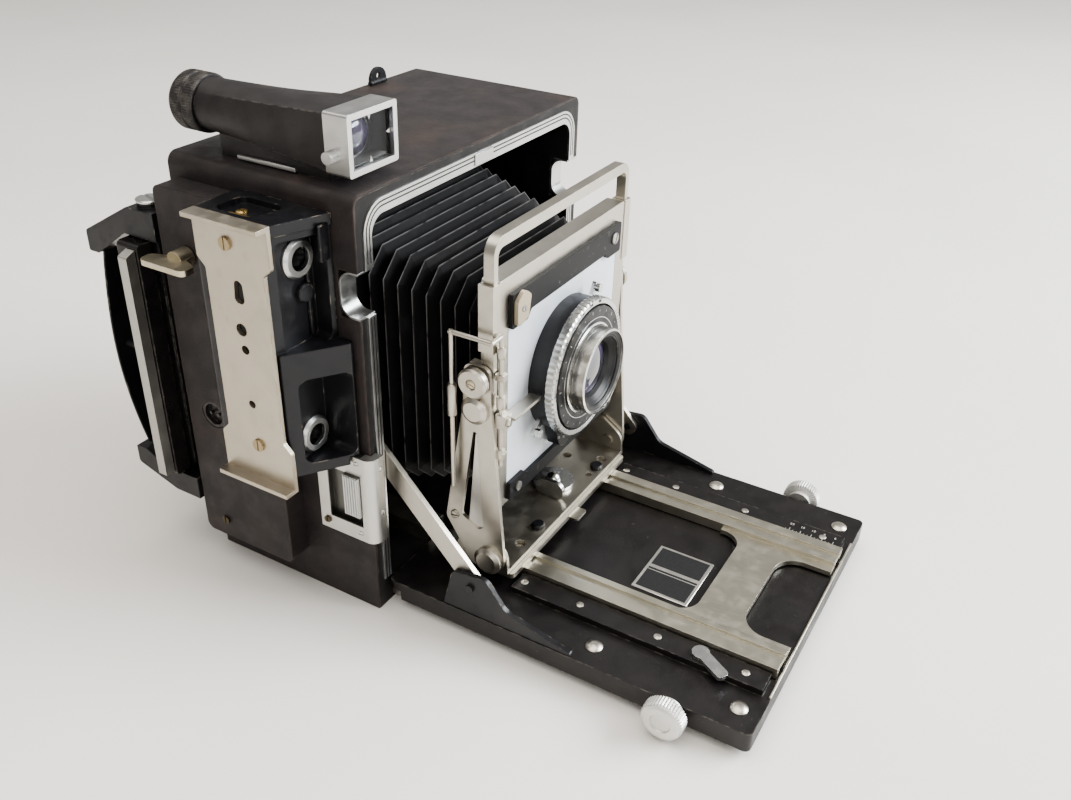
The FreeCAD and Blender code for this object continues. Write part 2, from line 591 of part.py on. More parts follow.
def panel_springs():
    return node(group("panel_springs", bow("spring_leaf", -1), bow("spring_leaf_other", 1)))


def film_holder():
    """Double film holder in the back, with its end standing out at the side."""
    front, back = "body_depth / 2 + back_thick + clearance", "body_depth / 2 + back_thick + holder_thick"
    z = ("lens_height - holder_half", "lens_height + holder_half")
    block = plate("holder_block", "XZ_Plane", front, back, rectangle(("-holder_out", "holder_in"), z, 2))
    window = box("holder_window", ("-gate_width / 2", "gate_width / 2"), (front + "- 1", back + "+ 1"),
                 ("lens_height - gate_height / 2", "lens_height + gate_height / 2"))
    slit = box("holder_slit", ("-holder_out - 1", "gate_width / 2 + 4"), (front + "+ 3", front + "+ 4.2"),
               ("lens_height - gate_height / 2 - 2", "lens_height + gate_height / 2 + 2"))
    groove = box("holder_groove", ("-holder_out + 8", "-holder_out + 12"), (front + "- 1", front + "+ 1.2"),
                 z)
    septum = box("holder_septum", ("-gate_width / 2 - 1", "gate_width / 2 + 1"),
                 (front + "+ 6", front + "+ 7"),
                 ("lens_height - gate_height / 2 - 1", "lens_height + gate_height / 2 + 1"))
    return node(fuse("film_holder", cut("holder_open", block, window, slit, groove), septum))


def dark_slide():
    """Sheet that closes the film holder, with its bright pull strip outside."""
    front = "body_depth / 2 + back_thick + clearance"
    sheet_part = box("slide_sheet", ("-holder_out - 1", "gate_width / 2 + 3"),
                     (front + "+ 3.2", front + "+ 4"),
                     ("lens_height - gate_height / 2 - 1.5", "lens_height + gate_height / 2 + 1.5"))
    strip = plate("slide_pull", "XZ_Plane", front + "+ 1.2", front + "+ 6.4",
                  [("-holder_out - 5.5", "lens_height - holder_half + 2", 1),
                   ("-holder_out - 0.4", "lens_height - holder_half + 2"),
                   ("-holder_out - 0.4", "lens_height + holder_half - 2"),
                   ("-holder_out - 5.5", "lens_height + holder_half - 4", 1)])
    return node(fuse("dark_slide", sheet_part, strip))


def panel_front():
    return "body_depth / 2 + back_thick + holder_thick + clearance"


def hood_axis():
    """Y and Z of the hinge pin between the focusing panel and its hood."""
    return panel_front() + "+ panel_thick + 1.9", "lens_height + gate_height / 2 + 9"


def focusing_panel():
    """Sprung panel that carries the ground glass, with a post to each bow spring and the hood's pin."""
    front = panel_front()
    sides = rectangle(("-panel_half + 1", "panel_half - 1"), ("panel_low + 10", "panel_high - 10"), 4)
    opening = rectangle(("-gate_width / 2", "gate_width / 2"),
                        ("lens_height - gate_height / 2", "lens_height + gate_height / 2"), 3)
    frame = plate("panel_frame", "XZ_Plane", front, front + "+ panel_thick", sides, (), [opening])
    ear = box("panel_ear", ("-spring_place - 3", "-panel_half + 2"), (front + "+ 3", front + "+ panel_thick"),
              ("103", "113"))
    post = rod("panel_post", "y", ("-spring_place", front + "+ 5", "108"), "2", "16.5")
    pin = rod("panel_hood_pin", "x", ("-gate_width / 2 - 9", *hood_axis()), "0.7", "gate_width + 18")
    lug = box("panel_hood_lug", ("-gate_width / 2 - 9", "-gate_width / 2 - 6.5"),
              (front + "+ panel_thick - 0.5", front + "+ panel_thick + 3"),
              ("lens_height + gate_height / 2 + 7.5", "lens_height + gate_height / 2 + 10.5"))
    return node(fuse("focusing_panel", frame, pair("panel_ears", fuse("panel_ear_post", ear, post)),
                     pin, pair("panel_hood_lugs", lug)))


def ground_glass():
    """Ground glass in the focusing panel."""
    front = panel_front()
    return node(box("ground_glass", ("-gate_width / 2 + 0.3", "gate_width / 2 - 0.3"),
                    (front + "+ 0.5", front + "+ 2.5"),
                    ("lens_height - gate_height / 2 + 0.3", "lens_height + gate_height / 2 - 0.3")))


def focusing_hood():
    """Folded focusing hood: a shallow tray that covers the ground glass and hinges at the top."""
    front = panel_front() + "+ panel_thick + clearance"
    z = ("lens_height - gate_height / 2 - 8", "lens_height + gate_height / 2 + 8")
    tray = plate("hood_tray", "XZ_Plane", front, front + "+ hood_thick",
                 rectangle(("-gate_width / 2 - 6", "gate_width / 2 + 6"), z, 4))
    hollow = box("hood_hollow", ("-gate_width / 2 - 4.5", "gate_width / 2 + 4.5"),
                 (front + "- 1", front + "+ hood_thick - 1.5"), (z[0] + "+ 1.5", z[1] + "- 1.5"))
    barrel = rod("hood_barrel", "x", ("-gate_width / 2 - 5", *hood_axis()), "1.4", "gate_width + 10")
    bore = rod("hood_bore", "x", ("-gate_width / 2 - 6", *hood_axis()), "0.7 + running_gap",
               "gate_width + 12")
    return node(cut("focusing_hood", fuse("hood_solid", cut("hood_open", tray, hollow), barrel), bore))


# ---------------------------------------------------------------- hand strap
def hand_strap():
    """Leather hand strap on the side away from the rangefinder, with its two metal anchors."""
    outer = Part.Arc(Vector(93, 0, 48), Vector(107, 0, 110), Vector(93, 0, 172)).toShape()
    inner = Part.Arc(Vector(93, 0, 51), Vector(104.5, 0, 110), Vector(93, 0, 169)).toShape()
    caps = [Part.makeLine(outer.Vertexes[i].Point, inner.Vertexes[i].Point) for i in (0, 1)]
    face = Part.Face(Part.Wire(Part.__sortEdges__([outer, inner, *caps])))
    band = doc.addObject("Part::Feature", "strap_band")
    band.Shape = face.extrude(Vector(0, 26, 0))
    band.Placement.Base = Vector(0, -13, 0)
    anchors = [box(f"strap_anchor_{i}", ("body_width / 2", "body_width / 2 + 4"), ("-16", "16"), (low, high))
               for i, (low, high) in enumerate((("34", "47.5"), ("172.5", "186")))]
    return node(group("hand_strap", band, *anchors))


# ---------------------------------------------------------------- bed
def bed_plate():
    """Folding bed: flat plate with a raised strip beside each rail and pockets for the pinions."""
    slab = plate("bed_slab", "XY_Plane", "bed_low", "bed_high",
                 rectangle(("-bed_half", "bed_half"), ("-bed_front", "-bed_back"), 3))
    strip = box("bed_strip", ("-strip_outer", "-strip_inner"), ("-bed_front + 4", "-bed_back - 55"),
                ("bed_high - 0.5", "strip_high"))
    barrel = rod("bed_barrel", "x", ("-bed_half + 14", "-hinge_place", "hinge_height"), "hinge_barrel",
                 "2 * bed_half - 28")
    ends = pair("bed_lug_gaps", box("bed_lug_gap", ("-bed_half - 1", "-bed_half + 13"),
                                    ("-bed_back - 7", "-bed_back + 2"),
                                    ("0", "hinge_height + 5")))
    pin = rod("bed_pin_bore", "x", ("-bed_half", "-hinge_place", "hinge_height"), "hinge_pin + running_gap",
              "2 * bed_half")
    shaft = rod("bed_shaft_bore", "x", ("-bed_half - 1", "-pinion_place", "pinion_height"),
                "shaft_radius + running_gap", "2 * bed_half + 2")
    pocket = pair("bed_pockets", box("bed_pocket", ("-rail_place - rack_wide", "-rail_place + rack_wide"),
                                     ("-pinion_place - 6", "-pinion_place + 6"),
                                     ("pinion_height - 5", "bed_high + 1")))
    socket = rod("bed_socket_bore", "z", ("0", "-bed_socket_place", "bed_low - 1"), "socket_radius", "8")
    lock = rod("bed_lock_bore", "z", ("-lock_side", "-lock_place", "strip_high - 2.4"), "1.5 + running_gap",
               "10")
    solid = fuse("bed_solid", cut("bed_lugged", slab, ends), strip, mirrored("bed_strip_other", strip),
                 barrel)
    return node(cut("bed_plate", solid, pin, shaft, pocket, socket, lock))


def strut_ears():
    """Black ears on the bed's sides, with the pins that the struts turn on."""
    outside, inside = "-strut_inner - strut_thick - 0.3 - ear_thick", "-strut_inner - strut_thick - 0.3"
    ear = plate("strut_ear", "YZ_Plane", outside, inside,
                [("-83", "bed_high"), ("-88", "36", 4), ("-106", "38", 5), ("-117", "24", 8),
                 ("-151", "bed_high + 1.5", 1.2), ("-151", "bed_high")])
    pin = rod("strut_ear_pin", "x", ("-strut_inner - strut_thick - ear_thick - 1.5", "-ear_pin_place",
                                     "ear_pin_height"),
              "strut_pin", "ear_thick + strut_thick + 2")
    return node(pair("strut_ears", fuse("strut_ear_pinned", ear, pin)))


def strut(label, side):
    """Flat bed strut, from the ear's pin up to the guide in the body's side wall."""
    foot = Vector(-value("ear_pin_place"), value("ear_pin_height"), 0)
    head = Vector(-value("strut_top_place"), value("strut_top_height"), 0)
    along = (head - foot).normalize()
    across = Vector(-along.y, along.x, 0) * (value("strut_wide") / 2)
    ends = [foot - along * 5 - across, foot - along * 5 + across, head + along * 3 + across,
            head + along * 3 - across]
    low = "-strut_inner - strut_thick" if side < 0 else "strut_inner"
    high = "-strut_inner" if side < 0 else "strut_inner + strut_thick"
    bar = plate(label + "_bar", "YZ_Plane", low, high, [(p.x, p.y, 4.4) for p in ends],
                [("-ear_pin_place", "ear_pin_height", "strut_pin + running_gap")])
    pin_start = "-strut_inner - strut_thick - 3.4" if side < 0 else "strut_inner + 0.5"
    pin = rod(label + "_pin", "x", (pin_start, "-strut_top_place", "strut_top_height"), "1.6",
              "strut_thick + 2.9")
    return node(fuse(label, bar, pin))


def focus_knobs():
    """Knurled focusing knobs outside the bed."""
    knob = turned("focus_knob", "x", ("-knob_outer", "-pinion_place", "pinion_height"),
                  [("0", "0"), ("knob_radius - 2.4", "0"), ("knob_radius", "1.6"), ("knob_radius", "6.6"),
                   ("knob_radius - 3.5", "8"), ("knob_radius - 3.5", "10.2"), ("shaft_radius", "10.2"),
                   ("shaft_radius", "2"), ("0", "2")])
    return node(pair("focus_knobs", knob))


def pinion_shaft():
    """Focusing shaft across the bed, with a pinion under each rail."""
    teeth = int(value("pinion_teeth"))
    module = 2 * value("pinion_radius") / teeth
    tip, root = value("pinion_radius") + 0.9 * module, value("pinion_radius") - 1.1 * module
    pitch = 2 * math.pi / teeth
    profile = []
    for i in range(teeth):
        middle = i * pitch
        for radius, share in ((root, -0.23), (tip, -0.06), (tip, 0.06), (root, 0.23)):
            angle = middle + share * pitch
            profile.append(Vector(0, radius * math.sin(angle), radius * math.cos(angle)))
    wheel = Part.Face(Part.makePolygon(profile + profile[:1])).extrude(Vector(value("rack_wide"), 0, 0))
    gears = []
    for i, side in enumerate((-1, 1)):
        gear = doc.addObject("Part::Feature", f"pinion_{i}")
        gear.Shape = wheel
        gear.Placement.Base = Vector(side * value("rail_place") - value("rack_wide") / 2,
                                     -value("pinion_place"), value("pinion_height"))
        gears.append(gear)
    shaft = rod("pinion_rod", "x", ("-knob_outer + 2", "-pinion_place", "pinion_height"), "shaft_radius",
                "2 * knob_outer - 4")
    return node(fuse("pinion_shaft", shaft, *gears))


def track_lock():
    """Ribbed lever that locks the focusing track."""
    stem = rod("lock_stem", "z", ("-lock_side", "-lock_place", "strip_high - 2.2"), "1.5", "2.8")
    disc = rod("lock_disc", "z", ("-lock_side", "-lock_place", "strip_high + 0.2"), "4", "2")
    lever = plate("lock_lever", "XY_Plane", "strip_high + 0.2", "strip_high + 2.2",
                  [("-lock_side - 1.4", "-lock_place + 3"), ("-lock_side + 3", "-lock_place - 1"),
                   ("-lock_side - 6", "-lock_place - 16", 2), ("-lock_side - 11", "-lock_place - 13", 2)])
    return node(fuse("track_lock_lever", stem, disc, lever))


# ---------------------------------------------------------------- focusing track
def focus_track():
    """Two rails with racks underneath, joined in front by a yoke with a round-cornered bay each side."""
    rail = box("track_rail", ("-rail_place - rail_wide / 2", "-rail_place + rail_wide / 2"),
               ("-track_front", "-track_back"), ("rail_low", "rail_high"))
    groove = box("track_rail_groove", ("-rail_place - 1.2", "-rail_place + 3.4"),
                 ("-track_front - 1", "-track_back + 1"),
                 ("rail_high - 1.2", "rail_high + 1"))
    bed_side = box("track_rack_channel", ("-rail_place - rack_wide / 2 - 0.6",
                                          "-rail_place + rack_wide / 2 + 0.6"),
                   ("-track_front - 1", "-track_back + 1"), ("rail_low - 1", "rail_low + 2.4"))
    grooved = cut("track_rail_grooved", rail, groove, bed_side)
    window = "rail_place - rail_wide / 2 - 5"
    arm = "rail_place - rail_wide / 2 - 2"
    left = [("-rail_place + rack_wide / 2 + 0.6", "-yoke_back + 12"),
            ("-rail_place + rack_wide / 2 + 0.6", "-track_front"),
            ("-rail_place + rail_wide / 2 + 5", "-track_front"),
            ("-rail_place + rail_wide / 2 + 5", "-yoke_front", 12)]
    right = [(window, "-yoke_front", 12), (window, "-track_front"),
             ("rail_place - rack_wide / 2 - 0.6", "-track_front"),
             ("rail_place - rack_wide / 2 - 0.6", "-yoke_back + 12"), (arm, "-yoke_back + 12"),
             (arm, "-yoke_back", 10)]
    bay = [("-rail_place + rail_wide / 2 + 2", "-yoke_back", 10),
           ("-rail_place + rail_wide / 2 + 2", "-yoke_back + 12")]
    yoke = plate("track_yoke", "XY_Plane", "rail_low + 0.4", "rail_low + 0.4 + yoke_thick",
                 left + right + bay)
    racks = []
    for i, side in enumerate((-1, 1)):
        rack = doc.addObject("Part::Feature", f"track_rack_{i}")
        rack.Shape = rack_solid()
        rack.Placement.Base = Vector(side * value("rail_place") - value("rack_wide") / 2, 0, 0)
        racks.append(rack)
    return node(fuse("focus_track", grooved, mirrored("track_rail_other", grooved), yoke, *racks))


def rack_solid():
    """Toothed rack in mesh with the pinion: a pinion tooth stands in the gap above the shaft."""
    module = 2 * value("pinion_radius") / value("pinion_teeth")
    pitch = math.pi * module
    pitch_line = value("pinion_height") + value("pinion_radius")
    tip, root, top = pitch_line - 0.8 * module, pitch_line + 1.2 * module, value("rail_low") + 2.6
    centre = -value("pinion_place")
    count = 34
    outline = [Vector(0, centre - pitch, top)]
    for i in range(-1, count):
        middle = centre + (i + 0.5) * pitch
        for share, level in ((-0.24, root), (-0.08, tip), (0.08, tip), (0.24, root)):
            outline.append(Vector(0, middle + share * pitch, level))
    outline.append(Vector(0, centre + count * pitch, top))
    return Part.Face(Part.makePolygon(outline + outline[:1])).extrude(Vector(value("rack_wide"), 0, 0))


# ---------------------------------------------------------------- front standard
def standard_base():
    """Carriage that rides on the rails and grips their edges."""
    deck = plate("base_deck", "XY_Plane", "base_low", "base_high",
                 rectangle(("-base_half", "base_half"), ("-base_front", "-base_back"), 2),
                 [("cam_place_x", "-cam_place_y", "2.5 + running_gap")])
    lip = box("base_lip", ("-base_half + 2", "base_half - 2"), ("-base_front", "-base_front + 1.6"),
              ("base_low - 0.2", "base_high"))
    outer = box("base_grip_outer", ("-rail_place - rail_wide / 2 - 2", "-rail_place - rail_wide / 2 - 0.3"),
                ("-base_front + 6", "-base_back - 4"), ("strip_high + 0.3", "base_low + 0.5"))
    inner = box("base_grip_inner", ("-rail_place + rail_wide / 2 + 0.3", "-rail_place + rail_wide / 2 + 2"),
                ("-base_front + 6", "-base_back - 4"), ("rail_low + 4", "base_low + 0.5"))
    tab = plate("base_tab", "XY_Plane", "base_low", "base_low + 1.2",
                rectangle(("-4", "6"), ("-base_front - 5", "-base_front + 2"), 1.5))
    grips = [outer, inner, mirrored("base_grip_outer_other", outer), mirrored("base_grip_inner_other", inner)]
    return node(fuse("standard_base", deck, lip, tab, *grips))


def shift_plate():
    """Plate that slides sideways on the base; its turned-up ears carry the tilt pivots."""
    deck = plate("shift_deck", "XY_Plane", "shift_low", "shift_high",
                 rectangle(("-shift_half", "shift_half"), ("-base_front + 2", "-base_back - 2"), 2),
                 [("-40", "-98", "2.6"), ("-24", "-96", "1.6"), ("40", "-80", "2.6"), ("47", "-98", "2.6"),
                  ("30", "-99", "1.6")],
                 [rectangle(("cam_place_x - shift_travel - 3", "cam_place_x + shift_travel + 3"),
                            ("-cam_place_y - 3", "-cam_place_y + 3"), 2.8)])
    ear = plate("shift_ear", "YZ_Plane", "-shift_half", "-shift_half + 2",
                [("-104", "shift_low"), ("-74", "shift_low"), ("-76", "34", 4), ("-89", "46", 5),
                 ("-103", "36", 8)],
                [("-tilt_place", "tilt_height", "3 + running_gap")])
    return node(fuse("shift_plate", deck, ear, mirrored("shift_ear_other", ear)))


def base_lock_lever():
    """Swivel lever that locks the sideways shift."""
    stem = rod("cam_stem", "z", ("cam_place_x", "-cam_place_y", "base_low + 0.2"), "2.5",
               "shift_high - base_low + 2")
    disc = rod("cam_disc", "z", ("cam_place_x", "-cam_place_y", "shift_high + 0.2"), "11", "1.8")
    cap = doc.addObject("Part::Sphere", "cam_cap")
    cap.Radius = 4
    cap.Angle1 = 0
    bind(cap, "Placement.Base.x", "cam_place_x")
    bind(cap, "Placement.Base.y", "-cam_place_y")
    bind(cap, "Placement.Base.z", "shift_high + 1.8")
    handle = plate("cam_handle", "YZ_Plane", "cam_place_x - 13.2", "cam_place_x - 10.8",
                   [("-cam_place_y - 13", "shift_high + 0.2", 4), ("-cam_place_y + 3", "shift_high + 0.2", 3),
                    ("-cam_place_y + 3", "shift_high + 10", 5), ("-cam_place_y - 13", "shift_high + 10", 5)])
    web = box("cam_web", ("cam_place_x - 11.5", "cam_place_x"), ("-cam_place_y - 4", "-cam_place_y + 3"),
              ("shift_high + 0.2", "shift_high + 2"))
    return node(fuse("base_lock_lever", stem, disc, cap, handle, web))


def standard_arms():
    """Side arms of the front standard: an upturned V with a slot, on the tilt pivots."""
    low, high = "-arm_inner - arm_thick", "-arm_inner"
    arm = plate("side_arm", "YZ_Plane", low, high,
                [("-104", "24.6", 8), ("-86", "24.6", 8), ("-71", "48", 5), ("-81", "112", 3), ("-82", "134", 4),
                 ("-95", "134", 4), ("-96", "112", 6)],
                [("-tilt_place", "tilt_height", "3 + running_gap")],
                [[("-88.5", "100", 1.2), ("-86.5", "100", 0.9), ("-79.5", "52", 2), ("-92", "44", 3)]])
    rest = box("arm_guide", ("-arm_inner - 0.2", "-frame_half - 0.3"),
               ("-frame_back - 2.6", "-frame_back + 3"),
               ("104", "134"))
    return node(pair("standard_arms", fuse("arm_solids", arm, rest)))


def pivot_bolts():
    """Domed bolts: the tilt pivots below and the rise guides above."""
    solids = []
    for i, (place, height, radius, reach) in enumerate((("-tilt_place", "tilt_height", "7.2", "6.3"),
                                                        ("-upper_pivot_place", "upper_pivot_height", "6.6",
                                                         "2"))):
        head = turned(f"bolt_head_{i}", "x", ("-arm_inner - arm_thick - 3.2", place, height),
                      [("0", "0"), (radius + "- 2", "0"), (radius, "1.4"), (radius, "3.2"), ("0", "3.2")])
        if i == 0:
            shank = rod(f"bolt_shank_{i}", "x", ("-arm_inner - arm_thick - 1", place, height), "3", reach)
            head = fuse(f"bolt_{i}", head, shank)
        solids += [head, mirrored(f"bolt_{i}_other", head)]
    return node(group("pivot_bolts", *solids))


def rise_locks():
    """Knurled lock screws for the rising front."""
    lock = turned("rise_lock", "x", ("-arm_inner - arm_thick - 5.2", "-upper_pivot_place - 0.6",
                                     "rise_lock_height"),
                  [("0", "0.8"), ("2.2", "0.8"), ("2.6", "0"), ("6.2", "0"), ("7.2", "1"), ("7.2", "3.6"),
                   ("4", "3.9"),
                   ("4", "5"), ("0", "5")])
    return node(pair("rise_locks", lock))


def lens_frame():
    """Square frame of the lens standard, with the sleeves that hold the wire finder."""
    front, back = "-frame_front", "-frame_back"
    outline = rectangle(("-frame_half", "frame_half"), ("frame_low", "frame_high"), 2.5)
    hole = rectangle(("-45", "45"), ("lens_height - 45", "lens_height + 45"), 4)
    slab = plate("frame_slab", "XZ_Plane", front, back, outline, (), [hole])
    seat = box("frame_seat", ("-board_half - 0.3", "board_half + 0.3"),
               (front + "- 1", front + "+ board_thick + 0.1"),
               ("lens_height - board_half - 0.3", "lens_height + board_half + 0.3"))
    outer = "-finder_half - 2"
    sleeve = box("frame_sleeve", (outer, "-frame_half + 0.5"), (front + "- 0.4", front + "+ finder_wide + 2"),
                 ("sleeve_low", "sleeve_high"))
    channel = box("frame_channel", ("-finder_half - 0.2", "-frame_half"),
                  (front + "+ 0.4", front + "+ finder_wide + 0.8"),
                  ("sleeve_low - 1", "sleeve_high + 1"))
    sleeves = cut("frame_sleeve_open", sleeve, channel)
    clip = box("rod_clip", ("-finder_half - 0.1", "-frame_half + 0.5"), (front + "- 4.6", front + "- 0.2"),
               ("88", "91"))
    upper_clip = box("rod_clip_upper", ("-finder_half - 0.1", "-frame_half + 0.5"),
                     (front + "- 4.6", front + "- 0.2"), ("128", "131"))
    bore = rod("rod_clip_bore", "z", ("-60", front + "- 2.5", "80"), "1.1 + running_gap", "60")
    clips = cut("rod_clips", fuse("rod_clips_solid", clip, upper_clip), bore)
    return node(fuse("lens_frame", cut("frame_seated", slab, seat), sleeves,
                     mirrored("frame_sleeve_other", sleeves), clips))


def lens_board():
    """Square lens board in the frame's seat."""
    z = ("lens_height - board_half", "lens_height + board_half")
    board = plate("lens_board", "XZ_Plane", "-frame_front", "-frame_front + board_thick",
                  rectangle(("-board_half", "board_half"), z, 2), [("0", "lens_height", "rear_barrel + 0.2")])
    return node(board)


def board_slide():
    """Upper lock slide of the lens board, with its finger tab."""
    front = "-frame_front - 2.2"
    strip = plate("slide_strip", "XZ_Plane", front, "-frame_front - 0.1",
                  [("-51", "148", 1), ("-38", "148", 1), ("-35", "152", 2), ("35", "152", 2),
                   ("38", "149", 1),
                   ("51", "149", 1), ("51", "164", 1), ("-51", "164", 1)])
    tab = plate("slide_tab", "XZ_Plane", front + "- 2.2", front,
                [("-50", "149", 2), ("-41", "151", 2), ("-39", "161", 2),
                                                                  ("-44", "165", 3), ("-50", "161", 2)])
    return node(fuse("board_slide", strip, tab))


def board_foot():
    """Fixed lower strip that holds the lens board's bottom edge, with its two screws."""
    strip = plate("foot_strip", "XZ_Plane", "-frame_front - 2.2", "-frame_front - 0.1",
                  [("-51", "58.5", 1), ("51", "58.5", 1), ("51", "68", 1), ("38", "68", 1), ("35", "65.5", 2),
                   ("-35", "65.5", 2), ("-38", "68", 1), ("-51", "68", 1)])
    heads = [rod(f"foot_screw_{i}", "y", (x, "-frame_front - 3.2", "63.3"), "2.4", "1.4") for i,
             x in enumerate(("-44", "44"))]
    return node(fuse("board_foot", strip, *heads))


def sports_frame():
    """Wire-frame finder: an upturned U of flat bar that pulls up out of the standard."""
    half, inner = "finder_half", "finder_half - finder_bar"
    front = "-frame_front + 0.5"
    hoop = plate("sports_frame", "XZ_Plane", front, front + "+ finder_wide",
                 [("-" + half, "62"), ("-" + half + "+ finder_bar", "62"),
                  ("-" + half + "+ finder_bar", "finder_high - 5", 4),
                  (inner, "finder_high - 5", 4), (inner, "62"), (half, "62"), (half, "finder_high", 8),
                  ("-" + half, "finder_high", 8)])
    return node(hoop)


def release_linkage():
    """Two push rods joined over the sleeve, with the flat link to the shutter's release."""
    rod_y = "-frame_front - 2.5"
    front_rod = rod("link_front_rod", "z", ("-60", rod_y, "84"), "1.1", "66")
    rear_rod = rod("link_rear_rod", "z", ("-67.6", "-78", "70"), "1.1", "80")
    over = rod("link_over", "y", ("-67.6", rod_y, "149"), "1.1", "20.5 + 1")
    cross = rod("link_cross", "x", ("-68.2", rod_y, "149"), "1.1", "9")
    clamp = box("link_clamp", ("-61.7", "-56"), ("-frame_front - 5.6", "-frame_front - 0.6"), ("104", "111"))
    bar = box("link_bar", ("-57", "-shutter_radius - 1.5"), ("-frame_front - 8", "-frame_front - 2"),
              ("107.6", "109"))
    return node(fuse("release_linkage", front_rod, rear_rod, over, cross, clamp, bar))


# ---------------------------------------------------------------- shutter and lens
def shutter_housing():
    """Between-lens shutter body with its threaded tube through the board."""
    board = "-frame_front"
    lens = "lens_height"
    body = turned("shutter_body", "y", ("0", "-shutter_front", lens),
                  [("rear_barrel", "0"), ("ring_inner - 0.3", "0"), ("ring_inner - 0.3", "4.2"),
                   ("shutter_radius", "4.2"),
                   ("shutter_radius", "12.9"), ("rear_barrel", "12.9")])
    tube = cut("shutter_tube", rod("shutter_tube_rod", "y", ("0", "-shutter_front + 8", lens), "rear_barrel",
                                   "25"),
               rod("shutter_tube_bore", "y", ("0", "-shutter_front + 7", lens), "rear_barrel - 2", "30"))
    scale = plate("shutter_scale", "XZ_Plane", "-shutter_front + 4.6", board + "- 2",
                  [("-22", "lens_height - 20"), ("-15", "lens_height - 40", 6), ("16", "lens_height - 37", 6),
                   ("22", "lens_height - 20")])
    bore = rod("shutter_scale_bore", "y", ("0", "-shutter_front + 3", lens), "shutter_radius - 1", "14")
    face = turned("shutter_face", "y", ("0", "-plate_front", lens),
                  [("barrel_radius + 0.2", "0"), ("ring_inner - 1", "0"), ("ring_inner - 0.3", "2"),
                   ("barrel_radius + 0.2", "2")])
    return node(fuse("shutter_housing", body, tube, cut("shutter_scale_trimmed", scale, bore), face))


def speed_ring():
    """Milled ring on the shutter's front that sets the speed."""
    return node(turned("speed_ring", "y", ("0", "-plate_front + 0.6", "lens_height"),
                       [("ring_inner", "0"), ("ring_radius - 0.8", "0"), ("ring_radius", "0.8"),
                        ("ring_radius", "4.4"),
                        ("ring_inner", "4.4")]))


def lens_barrel():
    """Bright front barrel with the black cone inside its rim."""
    return node(turned("lens_barrel", "y", ("0", "-barrel_front", "lens_height"),
                       [("barrel_radius - 1", "0"), ("barrel_radius", "0.4"), ("barrel_radius", "7.7"),
                        ("barrel_radius - 0.5", "7.7"), ("barrel_radius - 0.5", "9.4"),
                        ("glass_radius + 1", "9.4"), ("glass_radius + 1", "7.5"), ("glass_radius - 1", "7"),
                        ("glass_radius", "5"), ("barrel_radius - 3", "1.5"), ("barrel_radius - 1.2", "1.2")]))


def lens_elements():
    """Front and rear glass cells."""
    bulge, radius = 3.2, value("glass_radius")
    sphere = (radius ** 2 + bulge ** 2) / (2 * bulge)
    solids = []
    for i, (place, sign) in enumerate((("-barrel_front + 7.6", -1), ("-rear_barrel_back - 7", 1))):
        disc = Part.makeCylinder(radius, 4, Vector(0, 0, 0), Vector(0, sign, 0))
        ball = Part.makeSphere(sphere, Vector(0, sign * (bulge - sphere), 0))
        lens = doc.addObject("Part::Feature", f"element_{i}")
        lens.Shape = disc.common(ball)
        lens.Placement.Base = Vector(0, value(place), value("lens_height"))
        solids.append(lens)
    return node(group("lens_elements", *solids))


def shutter_blades():
    """Iris of five overlapping blades, drawn as one thin ring."""
    disc = cut("shutter_blades", rod("blade_disc", "y", ("0", "-shutter_front + 9", "lens_height"),
                                     "rear_barrel - 2.2", "0.5"),
               rod("blade_hole", "y", ("0", "-shutter_front + 8", "lens_height"), "6", "3"))
    return node(disc)


def lever(label, angle, depth, reach):
    """Small shutter lever that turns about the lens axis, standing out at an angle from +X."""
    low, high = depth
    arm = plate(label + "_arm", "XZ_Plane", low, high,
                [("shutter_radius + 0.5", "-1.7"), ("shutter_radius + " + reach, "-1.7", 1),
                 ("shutter_radius + " + reach, "1.7", 1),
                 ("shutter_radius + 0.5", "1.7")])
    tip = rod(label + "_tip", "y", ("shutter_radius + " + reach + "- 2.4", f"{low} - 2.4", "0"), "2", "3")
    solid = fuse(label, arm, tip)
    solid.Placement.Rotation = FreeCAD.Rotation(Vector(0, -1, 0), angle)
    bind(solid, "Placement.Base.z", "lens_height")
    return node(solid)


# ---------------------------------------------------------------- bellows
def bellows():
    """Tapering leather bellows between the body and the lens frame, as a plain hollow solid."""
    def square(y, half, middle):
        corners = [Vector(a * half, y, middle + b * half) for a, b in ((-1, -1), (1, -1), (1, 1), (-1, 1))]
        return Part.makePolygon(corners + corners[:1])
    back, front = value("bellows_back"), -value("frame_back") + 0.3
    rear_half, front_half = value("bellows_half_back"), value("bellows_half_front")
    middle = value("lens_height")
    outer = Part.makeLoft([square(back, rear_half, middle), square(front, front_half, middle)], True)
    inner = Part.makeLoft([square(back + 1, rear_half - 12, middle),
                           square(front - 1, front_half - 10, middle)], True)
    soft = doc.addObject("Part::Feature", "bellows")
    soft.Shape = outer.cut(inner)
    return node(soft)


